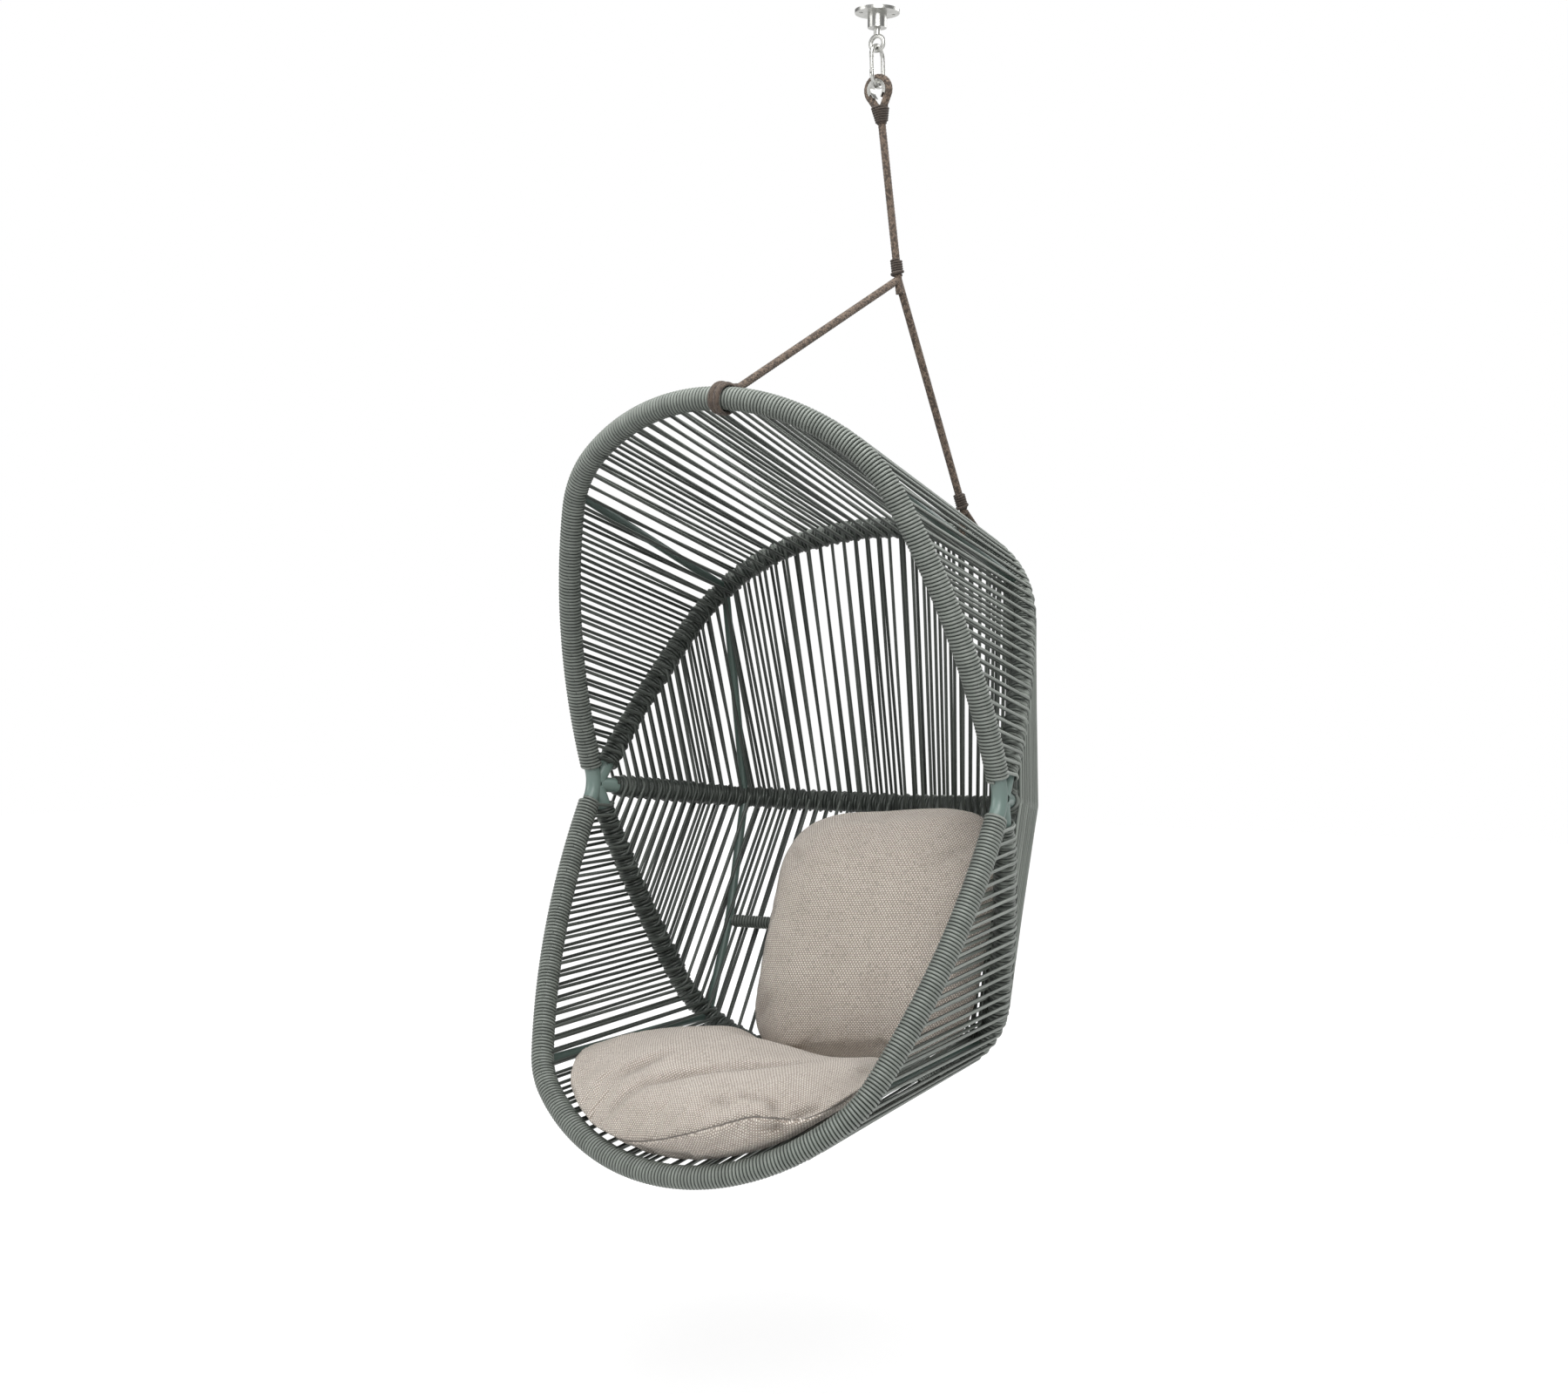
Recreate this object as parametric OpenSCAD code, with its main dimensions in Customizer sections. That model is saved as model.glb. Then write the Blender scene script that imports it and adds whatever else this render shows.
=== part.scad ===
// Hanging egg chair: five wound aluminium arches on two side joints, strung with cord,
// with a seat and a back cushion, hung by a Y-shaped rope harness from a ceiling swivel.
// Millimetres, +Z up, origin on the ceiling at the middle of the ceiling plate.
// Chair coordinates: origin midway between the two side joints, X across, front is -Y.

/* [Frame] */
// Distance between the two side joints
joint_span = 850; // [820:1:900]
// Outside diameter of the arch tubes
tube_d = 28; // [25:0.5:30]
// Wall of the arch tubes
tube_wall = 1.5; // [1.2:0.1:3]
// Bend radius of the tube at the bare waist joints
elbow_r = 60; // [50:1:75]
// Length of the bare stubs that leave each side joint to the back
stub_len = 36; // [36:1:42]
// Diameter of the straight ribs between the arches
rib_d = 16; // [12:1:20]
// Diameter of the bar across the lower back
crossbar_d = 12; // [10:1:16]

/* [Cord work] */
// Diameter of the round cord
cord_d = 6; // [4:0.5:7]
// Distance between neighbouring strands along the front rims
strand_pitch = 25.4; // [20:0.1:60]
// Distance of the first strand from the side joint, along the arch
strand_start = 76; // [70:1:120]

/* [Harness] */
// Diameter of the harness rope
rope_d = 14; // [12:0.5:16]
// Diameter of the cord that binds the harness
seizing_d = 4.9; // [3:0.1:5]
// Turns of binding cord in each seizing
seizing_turns = 6; // [3:1:8]
// Distance from the front edge of the side joints to the rope hinge, upward
hinge_height = 1258; // [1200:1:1300]

/* [Cushions] */
// Width of the seat cushion
seat_w = 640; // [600:1:642]
// Depth of the seat cushion
seat_depth = 500; // [460:1:502]
// Width of the back cushion
back_w = 484; // [430:1:486]
// Height of the back cushion
back_h = 488; // [440:1:490]
// Thickness of the back cushion
back_t = 122; // [90:1:124]

/* [Ceiling fitting] */
// Diameter of the ceiling plate
plate_d = 80; // [80:1:110]
// Circle on which the four plate holes lie
plate_pcd = 60; // [56:1:66]
// Diameter of the plate holes
plate_hole_d = 6.5; // [5:0.1:7]
// Diameter of the round steel in the eye and the carabiner
wire_d = 8; // [8:0.5:9]

/* [Hidden] */

$fn = 48;
half_w = joint_span / 2;
bore_d = tube_d - 2 * tube_wall;
winding_od = tube_d + 2 * cord_d;
winding_id = tube_d + 0.2;
strand_offset = winding_od / 2 - cord_d / 2 + 0.3;
winding_gap = 6;
rim_gap = 4;
stub_root = 4;
butt_gap = 0.05;
ferrule_len = 8;

green = [0.45, 0.55, 0.52];
cord_green = [0.49, 0.52, 0.48];
taupe = [0.69, 0.66, 0.61];
brown = [0.40, 0.35, 0.31];
steel = [0.72, 0.72, 0.70];

// The waist: the front rims meet at an elbow whose middle stands ahead of the joint axis.
hood_angle = 111.5;
seat_angle = -120.5;
waist_bend = 180 - (360 - hood_angle + seat_angle);
waist_reach = elbow_r * tan(waist_bend / 2);
waist_centre = elbow_r / cos(waist_bend / 2);
waist_mid = (hood_angle + seat_angle + 360) / 2;

// Each arch lies in a plane through the joint axis and is three arcs a side:
// [plane angle, lean at the joint, turn after the side, turn after the shoulder,
//  side radius, shoulder radius, straight length at the joint]
HOOD = [hood_angle, 0, 21.5, 52, 1380, 230, waist_reach];
UPPER = [54, 6, 16, 73, 2000, 290, stub_len];
MIDDLE = [-6, 14.5, 20, 64, 2120, 270, stub_len];
LOWER = [-67.5, 7, 17.5, 60, 2060, 190, stub_len];
SEAT = [seat_angle, 0, 20, 45, 1480, 170, waist_reach];

function unit(v) = v / norm(v);
function polar(a) = [cos(a), sin(a)];
function arc_len(r, turn) = r * turn * PI / 180;
function smooth(t) = let (c = min(1, max(0, t))) c * c * (3 - 2 * c);

// Centres and ends of an arch's arcs, in its own plane as [x, distance from the joint axis]
function crown_r(d) = (half_w - d[6] * sin(d[1]) - d[4] * (cos(d[1]) - cos(d[2]))
    - d[5] * (cos(d[2]) - cos(d[3]))) / cos(d[3]);
function side_end(d) = [half_w - d[6] * sin(d[1]), d[6] * cos(d[1])];
function side_centre(d) = side_end(d) - d[4] * polar(d[1]);
function shoulder_end(d) = side_centre(d) + d[4] * polar(d[2]);
function shoulder_centre(d) = shoulder_end(d) - d[5] * polar(d[2]);
function crown_end(d) = shoulder_centre(d) + d[5] * polar(d[3]);
function crown_centre(d) = [0, crown_end(d)[1] - crown_r(d) * sin(d[3])];

// Length from the side joint to the top of the arch
function half_length(d) = d[6] + arc_len(d[4], d[2] - d[1]) + arc_len(d[5], d[3] - d[2])
    + arc_len(crown_r(d), 90 - d[3]);
// Turn of the arch at a length s along it, past the straight part
function turn_at(d, s) = let (
        side = d[6] + arc_len(d[4], d[2] - d[1]),
        shoulder = side + arc_len(d[5], d[3] - d[2]))
    s < side ? d[1] + (s - d[6]) / d[4] * 180 / PI
    : s < shoulder ? d[2] + (s - side) / d[5] * 180 / PI
    : d[3] + (s - shoulder) / crown_r(d) * 180 / PI;
function plane_point(d, turn) = turn < d[2] ? side_centre(d) + d[4] * polar(turn)
    : turn < d[3] ? shoulder_centre(d) + d[5] * polar(turn)
    : crown_centre(d) + crown_r(d) * polar(turn);
// A point [x, reach] of the arch's plane in chair coordinates, on the right or left (side 1, -1)
function lift(d, p, side = 1) = [side * p[0], p[1] * cos(d[0]), p[1] * sin(d[0])];
function arch_point(d, s, side = 1) = lift(d, plane_point(d, turn_at(d, s)), side);
function arch_heading(d, s, side = 1) = let (turn = turn_at(d, s)) lift(d, [-sin(turn), cos(turn)], side);
// The length along the arch at which its crown stands x from the middle
function crown_length(d, x) = half_length(d) - arc_len(crown_r(d), asin(x / crown_r(d)));
// The length at which the arch stands x from the middle, found by halving
function length_at_x(d, x, low = 40, high = 0, steps = 24) = let (
        top = high == 0 ? half_length(d) : high,
        mid = (low + top) / 2)
    steps == 0 ? mid
    : arch_point(d, mid)[0] > x ? length_at_x(d, x, mid, top, steps - 1)
    : length_at_x(d, x, low, mid, steps - 1);

// The rope hangs from a hinge above the chair to the knot of the harness.
hinge = [107, 124, hinge_height];
knot = [139, 144, 914];
rope_fall = knot - hinge;
lean_back = atan2(rope_fall[1], -rope_fall[2]);
lean_side = -asin(rope_fall[0] / norm(rope_fall));
wire_play = 0.1;
bow_r = 20;
carabiner_len = 72;
hinge_gap = carabiner_len - wire_d - wire_play;
eye_wire = hinge + hinge_gap * [0, -sin(lean_back), cos(lean_back)];
plate_t = 6;
housing_d = 34;
housing_h = 26;
housing_cavity_d = 24;
housing_floor = 10;
stem_d = 12;
stem_play = 0.05;
stem_end = 44;
head_d = 20;
head_h = 8;
eye_inner_r = 9;
eye_ring_r = eye_inner_r + wire_d / 2;
eye_ring_z = stem_end - 2 + eye_ring_r + wire_d / 2;
anchor = eye_wire + [0, 0, eye_ring_z + eye_ring_r];

// Loops of rope round the arches
front_loop_x = 36;
rear_loop_x = 190;
front_loop_s = crown_length(HOOD, front_loop_x);
rear_loop_s = crown_length(UPPER, rear_loop_x);
front_loop_at = arch_point(HOOD, front_loop_s);
rear_loop_at = arch_point(UPPER, rear_loop_s);
loop_r = winding_od / 2 + rope_d / 2 + 1.2;
hitch_d = 23;
tail_len = 26;
seizing_pitch = seizing_d + 0.5;
seizing_len = seizing_turns * seizing_pitch;
seizing_r = rope_d / 2 + 0.3 + seizing_d / 2;
knot_clear = 8;
splice_start = 400;
splice_end = splice_start + seizing_len + 2 * knot_clear;

// Thimble and eye splice, seen from the front with the hinge at the origin
thimble_r = 12;
thimble_base = 2.5;
thimble_w = 16;
thimble_lip = 7;
thimble_tail = 9;
strap_inset = 0.4;
thimble_drop = thimble_r - 6.3;
eye_rope_r = thimble_r + thimble_base + rope_d / 2;
eye_open = 30;
eye_leg = (eye_rope_r * cos(eye_open) - rope_d / 2) / sin(eye_open);
collar_top = -34;
collar_h = 34;
collar_bite = 5;

// The carabiner's gate
gate_d = 7;
gate_hinge_z = bow_r + 5;
gate_top_z = carabiner_len - bow_r - 2.5;
gate_eye_w = 4;
gate_play = 0.2;
cheek_t = 2;
gate_pin_d = 3;

// Cushions
seat_at = [-1, -128];
seat_turn = -4;
seat_square = 2.6;
seat_taper = 0.24;
seat_t = 128;
seat_thin = 0.45;
// The bed is the top of the seat web: its height at y = 0, its slope, and its rise across
bed_z = -545.5;
bed_slope = 0.1446;
bed_half = 300;
bed_rise = [90, 31];
// Height of the seam over the bed: least, and added along the front
seam_lift = [1.5, 62];
// Each ramp is its start and its length
seam_in = [-190, 330];
seam_out = [150, 130];
seam_back = [20, 160];
// The back cushion stands here and presses the seat down
press_share = 0.72;
press_x = [-150, 110];
press_y = [-90, 170];
dip = 30;
dip_at = [150, -50];
dip_r = [120, 110];
back_at = [91, 154, -264];
back_lean = 14;
back_square = 3.3;
back_skew = [0.055, 0.075];
pillow_rings = 14;
pillow_sides = 40;

// ---- shared shapes ----

// Places chair coordinates under the ceiling plate
module hung() {
    translate(-anchor) children();
}

module rod(from, to, d) {
    v = to - from;
    translate(from) rotate([0, acos(v[2] / norm(v)), atan2(v[1], v[0])]) cylinder(h = norm(v), d = d);
}

// A frame whose +Z runs along the axis v at the point p
module along(p, v) {
    translate(p) rotate([0, acos(v[2] / norm(v)), atan2(v[1], v[0])]) children();
}

// A bent length of a round hollow section between two turns, short by a hair at each end
module ring_arc(centre, r, from, to, outer, inner) {
    hair = butt_gap / 2 / r * 180 / PI;
    translate([centre[0], centre[1], 0])
        rotate_extrude(angle = to - from - 2 * hair, start = from + hair, $fn = 180)
            translate([r, 0]) difference() {
                circle(d = outer, $fn = 48);
                circle(d = inner, $fn = 48);
            }
}

// A short straight ferrule inside the wall, over the butt joint at a turn of the arch
module ferrule(p, turn, outer, inner) {
    translate([p[0], p[1], 0]) rotate(turn) rotate([90, 0, 0]) difference() {
        cylinder(h = ferrule_len, d = outer, center = true);
        cylinder(h = ferrule_len + 1, d = inner, center = true);
    }
}

// One arch as a hollow round section in five bent lengths, joined by ferrules of their own
// diameters, from a small way past its straight part
module arch(d, outer, inner, ferrule_outer, ferrule_inner, skip = 0) {
    start = d[1] + skip / d[4] * 180 / PI;
    rotate([d[0], 0, 0]) {
        for (side = [0, 1]) mirror([side, 0, 0]) {
            ring_arc(side_centre(d), d[4], start, d[2], outer, inner);
            ferrule(shoulder_end(d), d[2], ferrule_outer, ferrule_inner);
            ring_arc(shoulder_centre(d), d[5], d[2], d[3], outer, inner);
            ferrule(crown_end(d), d[3], ferrule_outer, ferrule_inner);
        }
        ring_arc(crown_centre(d), crown_r(d), d[3], 180 - d[3], outer, inner);
    }
}

ferrule_od = tube_d - tube_wall * 0.8;
ferrule_id = bore_d - tube_wall * 0.6;

module arch_tube(d) {
    hung() color(green) arch(d, tube_d, bore_d, ferrule_od, ferrule_id);
}

// A back arch's tube, with the straight stub at each end that is welded to the side joint
module stubbed_tube(d) {
    arch_tube(d);
    hung() color(green) rotate([d[0], 0, 0]) for (side = [0, 1]) mirror([side, 0, 0]) {
        translate([half_w, 0, 0]) rotate([0, 0, d[1]]) rotate([-90, 0, 0]) translate([0, 0, stub_root])
            difference() {
                cylinder(h = stub_len - stub_root - butt_gap, d = tube_d);
                translate([0, 0, -1]) cylinder(h = stub_len, d = bore_d);
            }
        ferrule(side_end(d), d[1], ferrule_od, ferrule_id);
    }
}

module arch_winding(d, skip) {
    hung() color(cord_green) arch(d, winding_od, winding_id, winding_od - cord_d / 2,
        winding_id + cord_d / 2, skip);
}

// The bent waist of the frame, which joins the two front rims
module side_joint(side) {
    hung() color(green) translate([side * half_w, 0, 0]) rotate([90, 0, 90])
        translate(waist_centre * polar(waist_mid))
            rotate_extrude(angle = waist_bend, start = waist_mid + 180 - waist_bend / 2)
                translate([elbow_r, 0]) difference() {
                    circle(d = tube_d);
                    circle(d = bore_d);
                }
}

// A straight rib from arch to arch
module rib(from, to, side) {
    hung() color(green) mirror([side < 0 ? 1 : 0, 0, 0]) rod(from, to, rib_d);
}

// The point of an arch's tube wall where a rib ends, seen from the point that it comes from
function weld(d, x, from) = let (p = arch_point(d, length_at_x(d, x)))
    p + unit(from - p) * (tube_d / 2 - 1.4);

// One strand from arch a to arch b, on one face of the panel (layer 1) or on the other (layer -1)
module strand(a, b, sa, sb, side, layer) {
    pa = arch_point(a, sa, side);
    pb = arch_point(b, sb, side);
    na = unit(cross(pb - pa, arch_heading(a, sa, side)));
    nb = unit(cross(pb - pa, arch_heading(b, sb, side)));
    flip = layer * side * strand_offset;
    rod(pa + flip * na, pb + flip * nb, cord_d);
}

// Strands across the panel between two arches: one layer on the pitch, and on the other face one
// half a pitch along and slightly slanted
module web(a, b, stagger) {
    la = half_length(a);
    lb = half_length(b);
    last = floor((la - strand_start) / strand_pitch - stagger - 0.5);
    hung() color(cord_green) for (side = [-1, 1]) for (i = [0 : last]) {
        outer = 1 - (i + stagger) * strand_pitch / la;
        inner = 1 - (i + stagger + 0.5) * strand_pitch / la;
        if (i > 0 || side > 0 || stagger > 0) strand(a, b, outer * la, outer * lb, side, -1);
        strand(a, b, inner * la, (inner + 0.25 * strand_pitch / la) * lb, side, 1);
    }
}

// ---- faceted forms ----

// Faces of a stack of rings closed by a point at each end
function stack_faces(rings, sides) = concat(
    [for (j = [0 : sides - 1]) [0, 1 + (j + 1) % sides, 1 + j]],
    [for (k = [0 : rings - 2]) for (j = [0 : sides - 1]) let (
        a = 1 + k * sides + j,
        b = 1 + k * sides + (j + 1) % sides)
        each [[a, b, b + sides], [a, b + sides, a + sides]]],
    [for (j = [0 : sides - 1]) let (base = 1 + (rings - 1) * sides)
        [1 + rings * sides, base + j, base + (j + 1) % sides]]);

// A binding of cord wound up the Z axis as one unbroken tube, both ends run out straight
winding_rings = 24;
winding_sides = 6;
function wind_centre(i) = let (a = i * 360 / winding_rings)
    [seizing_r * cos(a), seizing_r * sin(a), seizing_pitch * a / 360];
function wind_ring(i, slide) = let (
        a = i * 360 / winding_rings,
        c = wind_centre(i) + slide * [-sin(a), cos(a), 0])
    [for (k = [0 : winding_sides - 1]) let (b = k * 360 / winding_sides)
        c + seizing_d / 2 * [cos(b) * cos(a), cos(b) * sin(a), sin(b)]];
module seizing(turns) {
    n = turns * winding_rings;
    rings = [
        wind_ring(0, -seizing_d),
        for (i = [0 : n]) wind_ring(i, 0),
        wind_ring(n, seizing_d)
    ];
    points = [
        wind_centre(0) - seizing_d * [0, 1, 0],
        for (r = rings) each r,
        wind_centre(n) + seizing_d * [0, 1, 0]
    ];
    polyhedron(points = points, faces = stack_faces(len(rings), winding_sides));
}
seizing_gap = min([for (i = [0 : winding_rings]) for (j = [i + winding_rings / 2 : 3 * winding_rings])
    norm(wind_centre(i) - wind_centre(j))]) - seizing_d;
echo(seizing_least_gap = seizing_gap);

function bulge(r, p, q) = pow(max(0, 1 - pow(r, p)), q);
function super(a, n) = [sign(cos(a)) * pow(abs(cos(a)), 2 / n), sign(sin(a)) * pow(abs(sin(a)), 2 / n)];
function ring_r(k) = sin(90 * k / pillow_rings);

// Seat cushion: it lies on the seat web, narrows to the back and stands up at its front seam
function ramp(x, span) = smooth((x - span[0]) / span[1]);
function across(p) = pow(p[0] / bed_half, 2);
function bed(p) = bed_z + bed_slope * p[1] + bed_rise[0] * across(p) + bed_rise[1] * pow(across(p), 3);
function seam_height(p) = seam_lift[0]
    + seam_lift[1] * ramp(p[0], seam_in) * (1 - ramp(p[0], seam_out)) * ramp(-p[1], seam_back);
function pressed(p) = press_share * ramp(p[1], press_y) * ramp(p[0], press_x);
function dip_depth(p) =
    dip * exp(-pow((p[0] - dip_at[0]) / dip_r[0], 2) - pow((p[1] - dip_at[1]) / dip_r[1], 2));
function crown(p) = (seat_t * (1 - seat_thin * across(p)) - seam_height(p) - dip_depth(p)) * (1 - pressed(p));
function seat_xy(k, j) = let (
        p = ring_r(k) * super(j * 360 / pillow_sides, seat_square),
        u = p[0] * seat_w / 2 * (1 - seat_taper * (1 + p[1]) / 2),
        v = p[1] * seat_depth / 2)
    seat_at + [u * cos(seat_turn) - v * sin(seat_turn), u * sin(seat_turn) + v * cos(seat_turn)];
function seat_point(k, j, top) = let (p = seat_xy(k, j))
    [p[0], p[1], bed(p) + (top ? seam_height(p) + crown(p) * bulge(ring_r(k), 2.2, 0.52)
        : seam_height(p) * (1 - bulge(ring_r(k), 30, 0.4)))];

// Back cushion: square, crowned and a little askew, its sides drawn in between the corners
function back_point(k, j, front) = let (
        a = j * 360 / pillow_sides,
        r = ring_r(k),
        draw = 1 - 0.05 * pow(r, 4) * pow(cos(2 * a), 2),
        p = r * draw * super(a, back_square),
        u = p[0] * back_w / 2,
        v = p[1] * back_h / 2)
    [u + back_skew[0] * v, (front ? -1 : 1) * bulge(r, 2.4, 0.55) * back_t / 2, v + back_skew[1] * u];

// ---- ceiling fitting ----

module ceiling_plate() {
    color(steel) difference() {
        translate([0, 0, -plate_t]) cylinder(h = plate_t, d = plate_d);
        for (a = [45 : 90 : 315]) rotate(a) translate([plate_pcd / 2, 0, -plate_t - 1])
            cylinder(h = plate_t + 2, d = plate_hole_d);
    }
}

module swivel_housing() {
    color(steel) translate([0, 0, -plate_t - housing_h]) difference() {
        cylinder(h = housing_h, d = housing_d);
        translate([0, 0, housing_floor]) cylinder(h = housing_h, d = housing_cavity_d);
        translate([0, 0, -1]) cylinder(h = housing_h, d = stem_d + 2 * stem_play);
    }
}

module swivel_eye() {
    floor_z = -plate_t - housing_h + housing_floor;
    color(steel) {
        translate([0, 0, floor_z + 0.3]) cylinder(h = head_h, d = head_d);
        translate([0, 0, -stem_end]) cylinder(h = stem_end + floor_z + 1, d = stem_d);
        translate([0, 0, -eye_ring_z]) rotate([90, 0, 0]) rotate_extrude()
            translate([eye_ring_r, 0]) circle(d = wire_d);
    }
}

// Local frame of the carabiner: its lower bow's lowest wire at the origin, in the YZ plane
module at_carabiner() {
    hung() translate(hinge) rotate([lean_back, 0, 0]) children();
}

module bow(z, from) {
    translate([0, 0, z]) rotate([90, 0, 90]) rotate_extrude(angle = 180, start = from)
        translate([bow_r, 0]) circle(d = wire_d);
}

module carabiner() {
    straight = carabiner_len - 2 * bow_r;
    lug_h = gate_hinge_z - bow_r + 3;
    at_carabiner() color(steel) difference() {
        union() {
            bow(bow_r, 180);
            bow(carabiner_len - bow_r, 0);
            translate([0, bow_r, bow_r]) cylinder(h = straight, d = wire_d);
            translate([0, -bow_r, bow_r]) cylinder(h = lug_h, d = wire_d);
            translate([0, -bow_r, gate_top_z + 0.5])
                cylinder(h = carabiner_len - bow_r - gate_top_z - 0.5, d = wire_d);
        }
        translate([-gate_eye_w / 2 - gate_play, -bow_r - wire_d, gate_hinge_z - gate_d / 2 - 0.8])
            cube([gate_eye_w + 2 * gate_play, 2 * wire_d, lug_h]);
        translate([-wire_d, -bow_r, gate_hinge_z]) rotate([0, 90, 0])
            cylinder(h = 2 * wire_d, d = gate_pin_d);
    }
}

module gate_pin() {
    at_carabiner() color(steel) translate([-wire_d / 2, -bow_r, gate_hinge_z]) rotate([0, 90, 0])
        cylinder(h = wire_d, d = gate_pin_d);
}

module carabiner_gate() {
    at_carabiner() color(steel) translate([0, -bow_r, gate_hinge_z]) difference() {
        union() {
            translate([0, 0, gate_d / 2 + 2])
                cylinder(h = gate_top_z - gate_hinge_z - gate_d / 2 - 2, d = gate_d);
            translate([-gate_eye_w / 2, 0, 0]) rotate([0, 90, 0]) cylinder(h = gate_eye_w, d = gate_d);
            translate([-gate_eye_w / 2, -2.4, 0]) cube([gate_eye_w, 4.8, gate_d / 2 + 3]);
        }
        translate([-wire_d, 0, 0]) rotate([0, 90, 0]) cylinder(h = 2 * wire_d, d = gate_pin_d + 0.12);
    }
}

// ---- rope harness ----

// Local frame of the hanging rope: the hinge at the origin, the rope down -Z
module at_rope() {
    hung() translate(hinge) rotate([lean_back, 0, 0]) rotate([0, lean_side, 0]) children();
}

module thimble_section() {
    difference() {
        translate([thimble_r, -thimble_w / 2]) square([thimble_lip, thimble_w]);
        translate([eye_rope_r, 0]) circle(d = rope_d + 0.2);
    }
}

module thimble() {
    at_rope() color(steel) translate([0, 0, -thimble_drop]) rotate([90, 0, 0]) {
        rotate_extrude(angle = 180 + 2 * eye_open, start = -eye_open) thimble_section();
        for (side = [0, 1]) mirror([side, 0, 0]) rotate([0, 0, -eye_open])
            translate([thimble_r + strap_inset, -thimble_tail, -thimble_w / 2 + strap_inset])
                cube([thimble_base - 2 * strap_inset, thimble_tail + 2, thimble_w - 2 * strap_inset]);
    }
}

// A core that joins two lengths of one rope over their butt joint
module core() {
    cylinder(h = ferrule_len, d = rope_d - 3, center = true);
}

module rope_eye() {
    at_rope() color(brown) translate([0, 0, -thimble_drop]) rotate([90, 0, 0]) {
        rotate_extrude(angle = 180 + 2 * eye_open, start = -eye_open)
            translate([eye_rope_r, 0]) circle(d = rope_d);
        for (side = [0, 1]) mirror([side, 0, 0]) rotate([0, 0, -eye_open])
            translate([eye_rope_r, 0, 0]) rotate([90, 0, 0]) {
                translate([0, 0, butt_gap]) cylinder(h = eye_leg, d = rope_d);
                core();
            }
    }
}

module eye_seizing() {
    at_rope() color(brown) translate([0, 0, collar_top - collar_h])
        cylinder(h = collar_h, d1 = rope_d + 6, d2 = 2 * rope_d + 4);
}

module main_rope() {
    top = collar_top - collar_h + collar_bite;
    at_rope() color(brown) translate([0, 0, -norm(rope_fall) - tail_len])
        cylinder(h = norm(rope_fall) + tail_len + top, d = rope_d);
}

module knot_seizing() {
    at_rope() color(brown) translate([0, 0, -norm(rope_fall) + knot_clear]) seizing(seizing_turns);
}

// Frame of a loop round an arch: +X towards the knot, +Z along the arch
module at_loop(p, heading) {
    pull = unit(knot - p);
    z = unit(heading - (heading * pull) * pull);
    y = cross(z, pull);
    tilt = acos(z[2]);
    spin = atan2(z[1], z[0]);
    x0 = [cos(tilt) * cos(spin), cos(tilt) * sin(spin), -sin(tilt)];
    y0 = [-sin(spin), cos(spin), 0];
    hung() translate(p) rotate([0, tilt, spin]) rotate([0, 0, atan2(pull * y0, pull * x0)]) children();
}

module front_leg() {
    pull = unit(knot - front_loop_at);
    hung() color(brown) {
        rod(front_loop_at + pull * loop_r, knot, rope_d);
        translate(front_loop_at + pull * (loop_r + 3)) sphere(d = hitch_d);
    }
}

module front_loop() {
    at_loop(front_loop_at, arch_heading(HOOD, front_loop_s)) color(brown)
        rotate_extrude() translate([loop_r, 0]) circle(d = rope_d);
}

module rear_leg() {
    hung() color(brown) rod(knot, knot + splice_end * unit(rear_loop_at - knot), rope_d);
}

module rear_seizing() {
    fall = unit(rear_loop_at - knot);
    hung() color(brown) along(knot + (splice_start + knot_clear) * fall, fall) seizing(seizing_turns);
}

module rear_loop() {
    reach = norm(rear_loop_at - knot) - splice_end + 2;
    spread = rope_d / 2 - 1;
    start = atan2(spread, reach) + acos(loop_r / norm([reach, spread]));
    foot = loop_r * polar(start);
    strand = [reach - foot[0], spread - foot[1], 0];
    at_loop(rear_loop_at, arch_heading(UPPER, rear_loop_s)) color(brown) {
        rotate_extrude(angle = 360 - 2 * start, start = start) translate([loop_r, 0]) circle(d = rope_d);
        for (side = [0, 1]) mirror([0, side, 0]) along([foot[0], foot[1], 0], strand) {
            translate([0, 0, butt_gap]) cylinder(h = norm(strand), d = rope_d);
            core();
        }
    }
}

// ---- ribs and crossbar ----

hood_rib_x = [314, 316];
back_rib_x = [316, 300, 294];
seat_rib_x = [294, 330];
bend = [284, 240, -268];
bend_inset = 3;
bend_d = rib_d + 1.6;
function arch_at_x(d, x) = arch_point(d, length_at_x(d, x));

module hood_rib(side) {
    a = arch_at_x(HOOD, hood_rib_x[0]);
    b = arch_at_x(UPPER, hood_rib_x[1]);
    rib(weld(HOOD, hood_rib_x[0], b), weld(UPPER, hood_rib_x[1], a), side);
}

module upper_back_rib(side) {
    a = arch_at_x(UPPER, back_rib_x[0]);
    b = arch_at_x(MIDDLE, back_rib_x[1]);
    rib(weld(UPPER, back_rib_x[0], b), weld(MIDDLE, back_rib_x[1], a), side);
}

module lower_back_rib(side) {
    top = weld(MIDDLE, back_rib_x[1], bend);
    foot = weld(LOWER, back_rib_x[2], bend);
    rib(top, bend + bend_inset * unit(top - bend), side);
    rib(foot, bend + bend_inset * unit(foot - bend), side);
    hung() color(green) translate([side * bend[0], bend[1], bend[2]]) sphere(d = bend_d);
}

module seat_rib(side) {
    a = arch_at_x(LOWER, seat_rib_x[0]);
    b = arch_at_x(SEAT, seat_rib_x[1]);
    rib(weld(LOWER, seat_rib_x[0], b), weld(SEAT, seat_rib_x[1], a), side);
}

module crossbar() {
    reach = bend[0] - rib_d / 2 + 1;
    hung() color(green) rod([-reach, bend[1], bend[2]], [reach, bend[1], bend[2]], crossbar_d);
}

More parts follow.
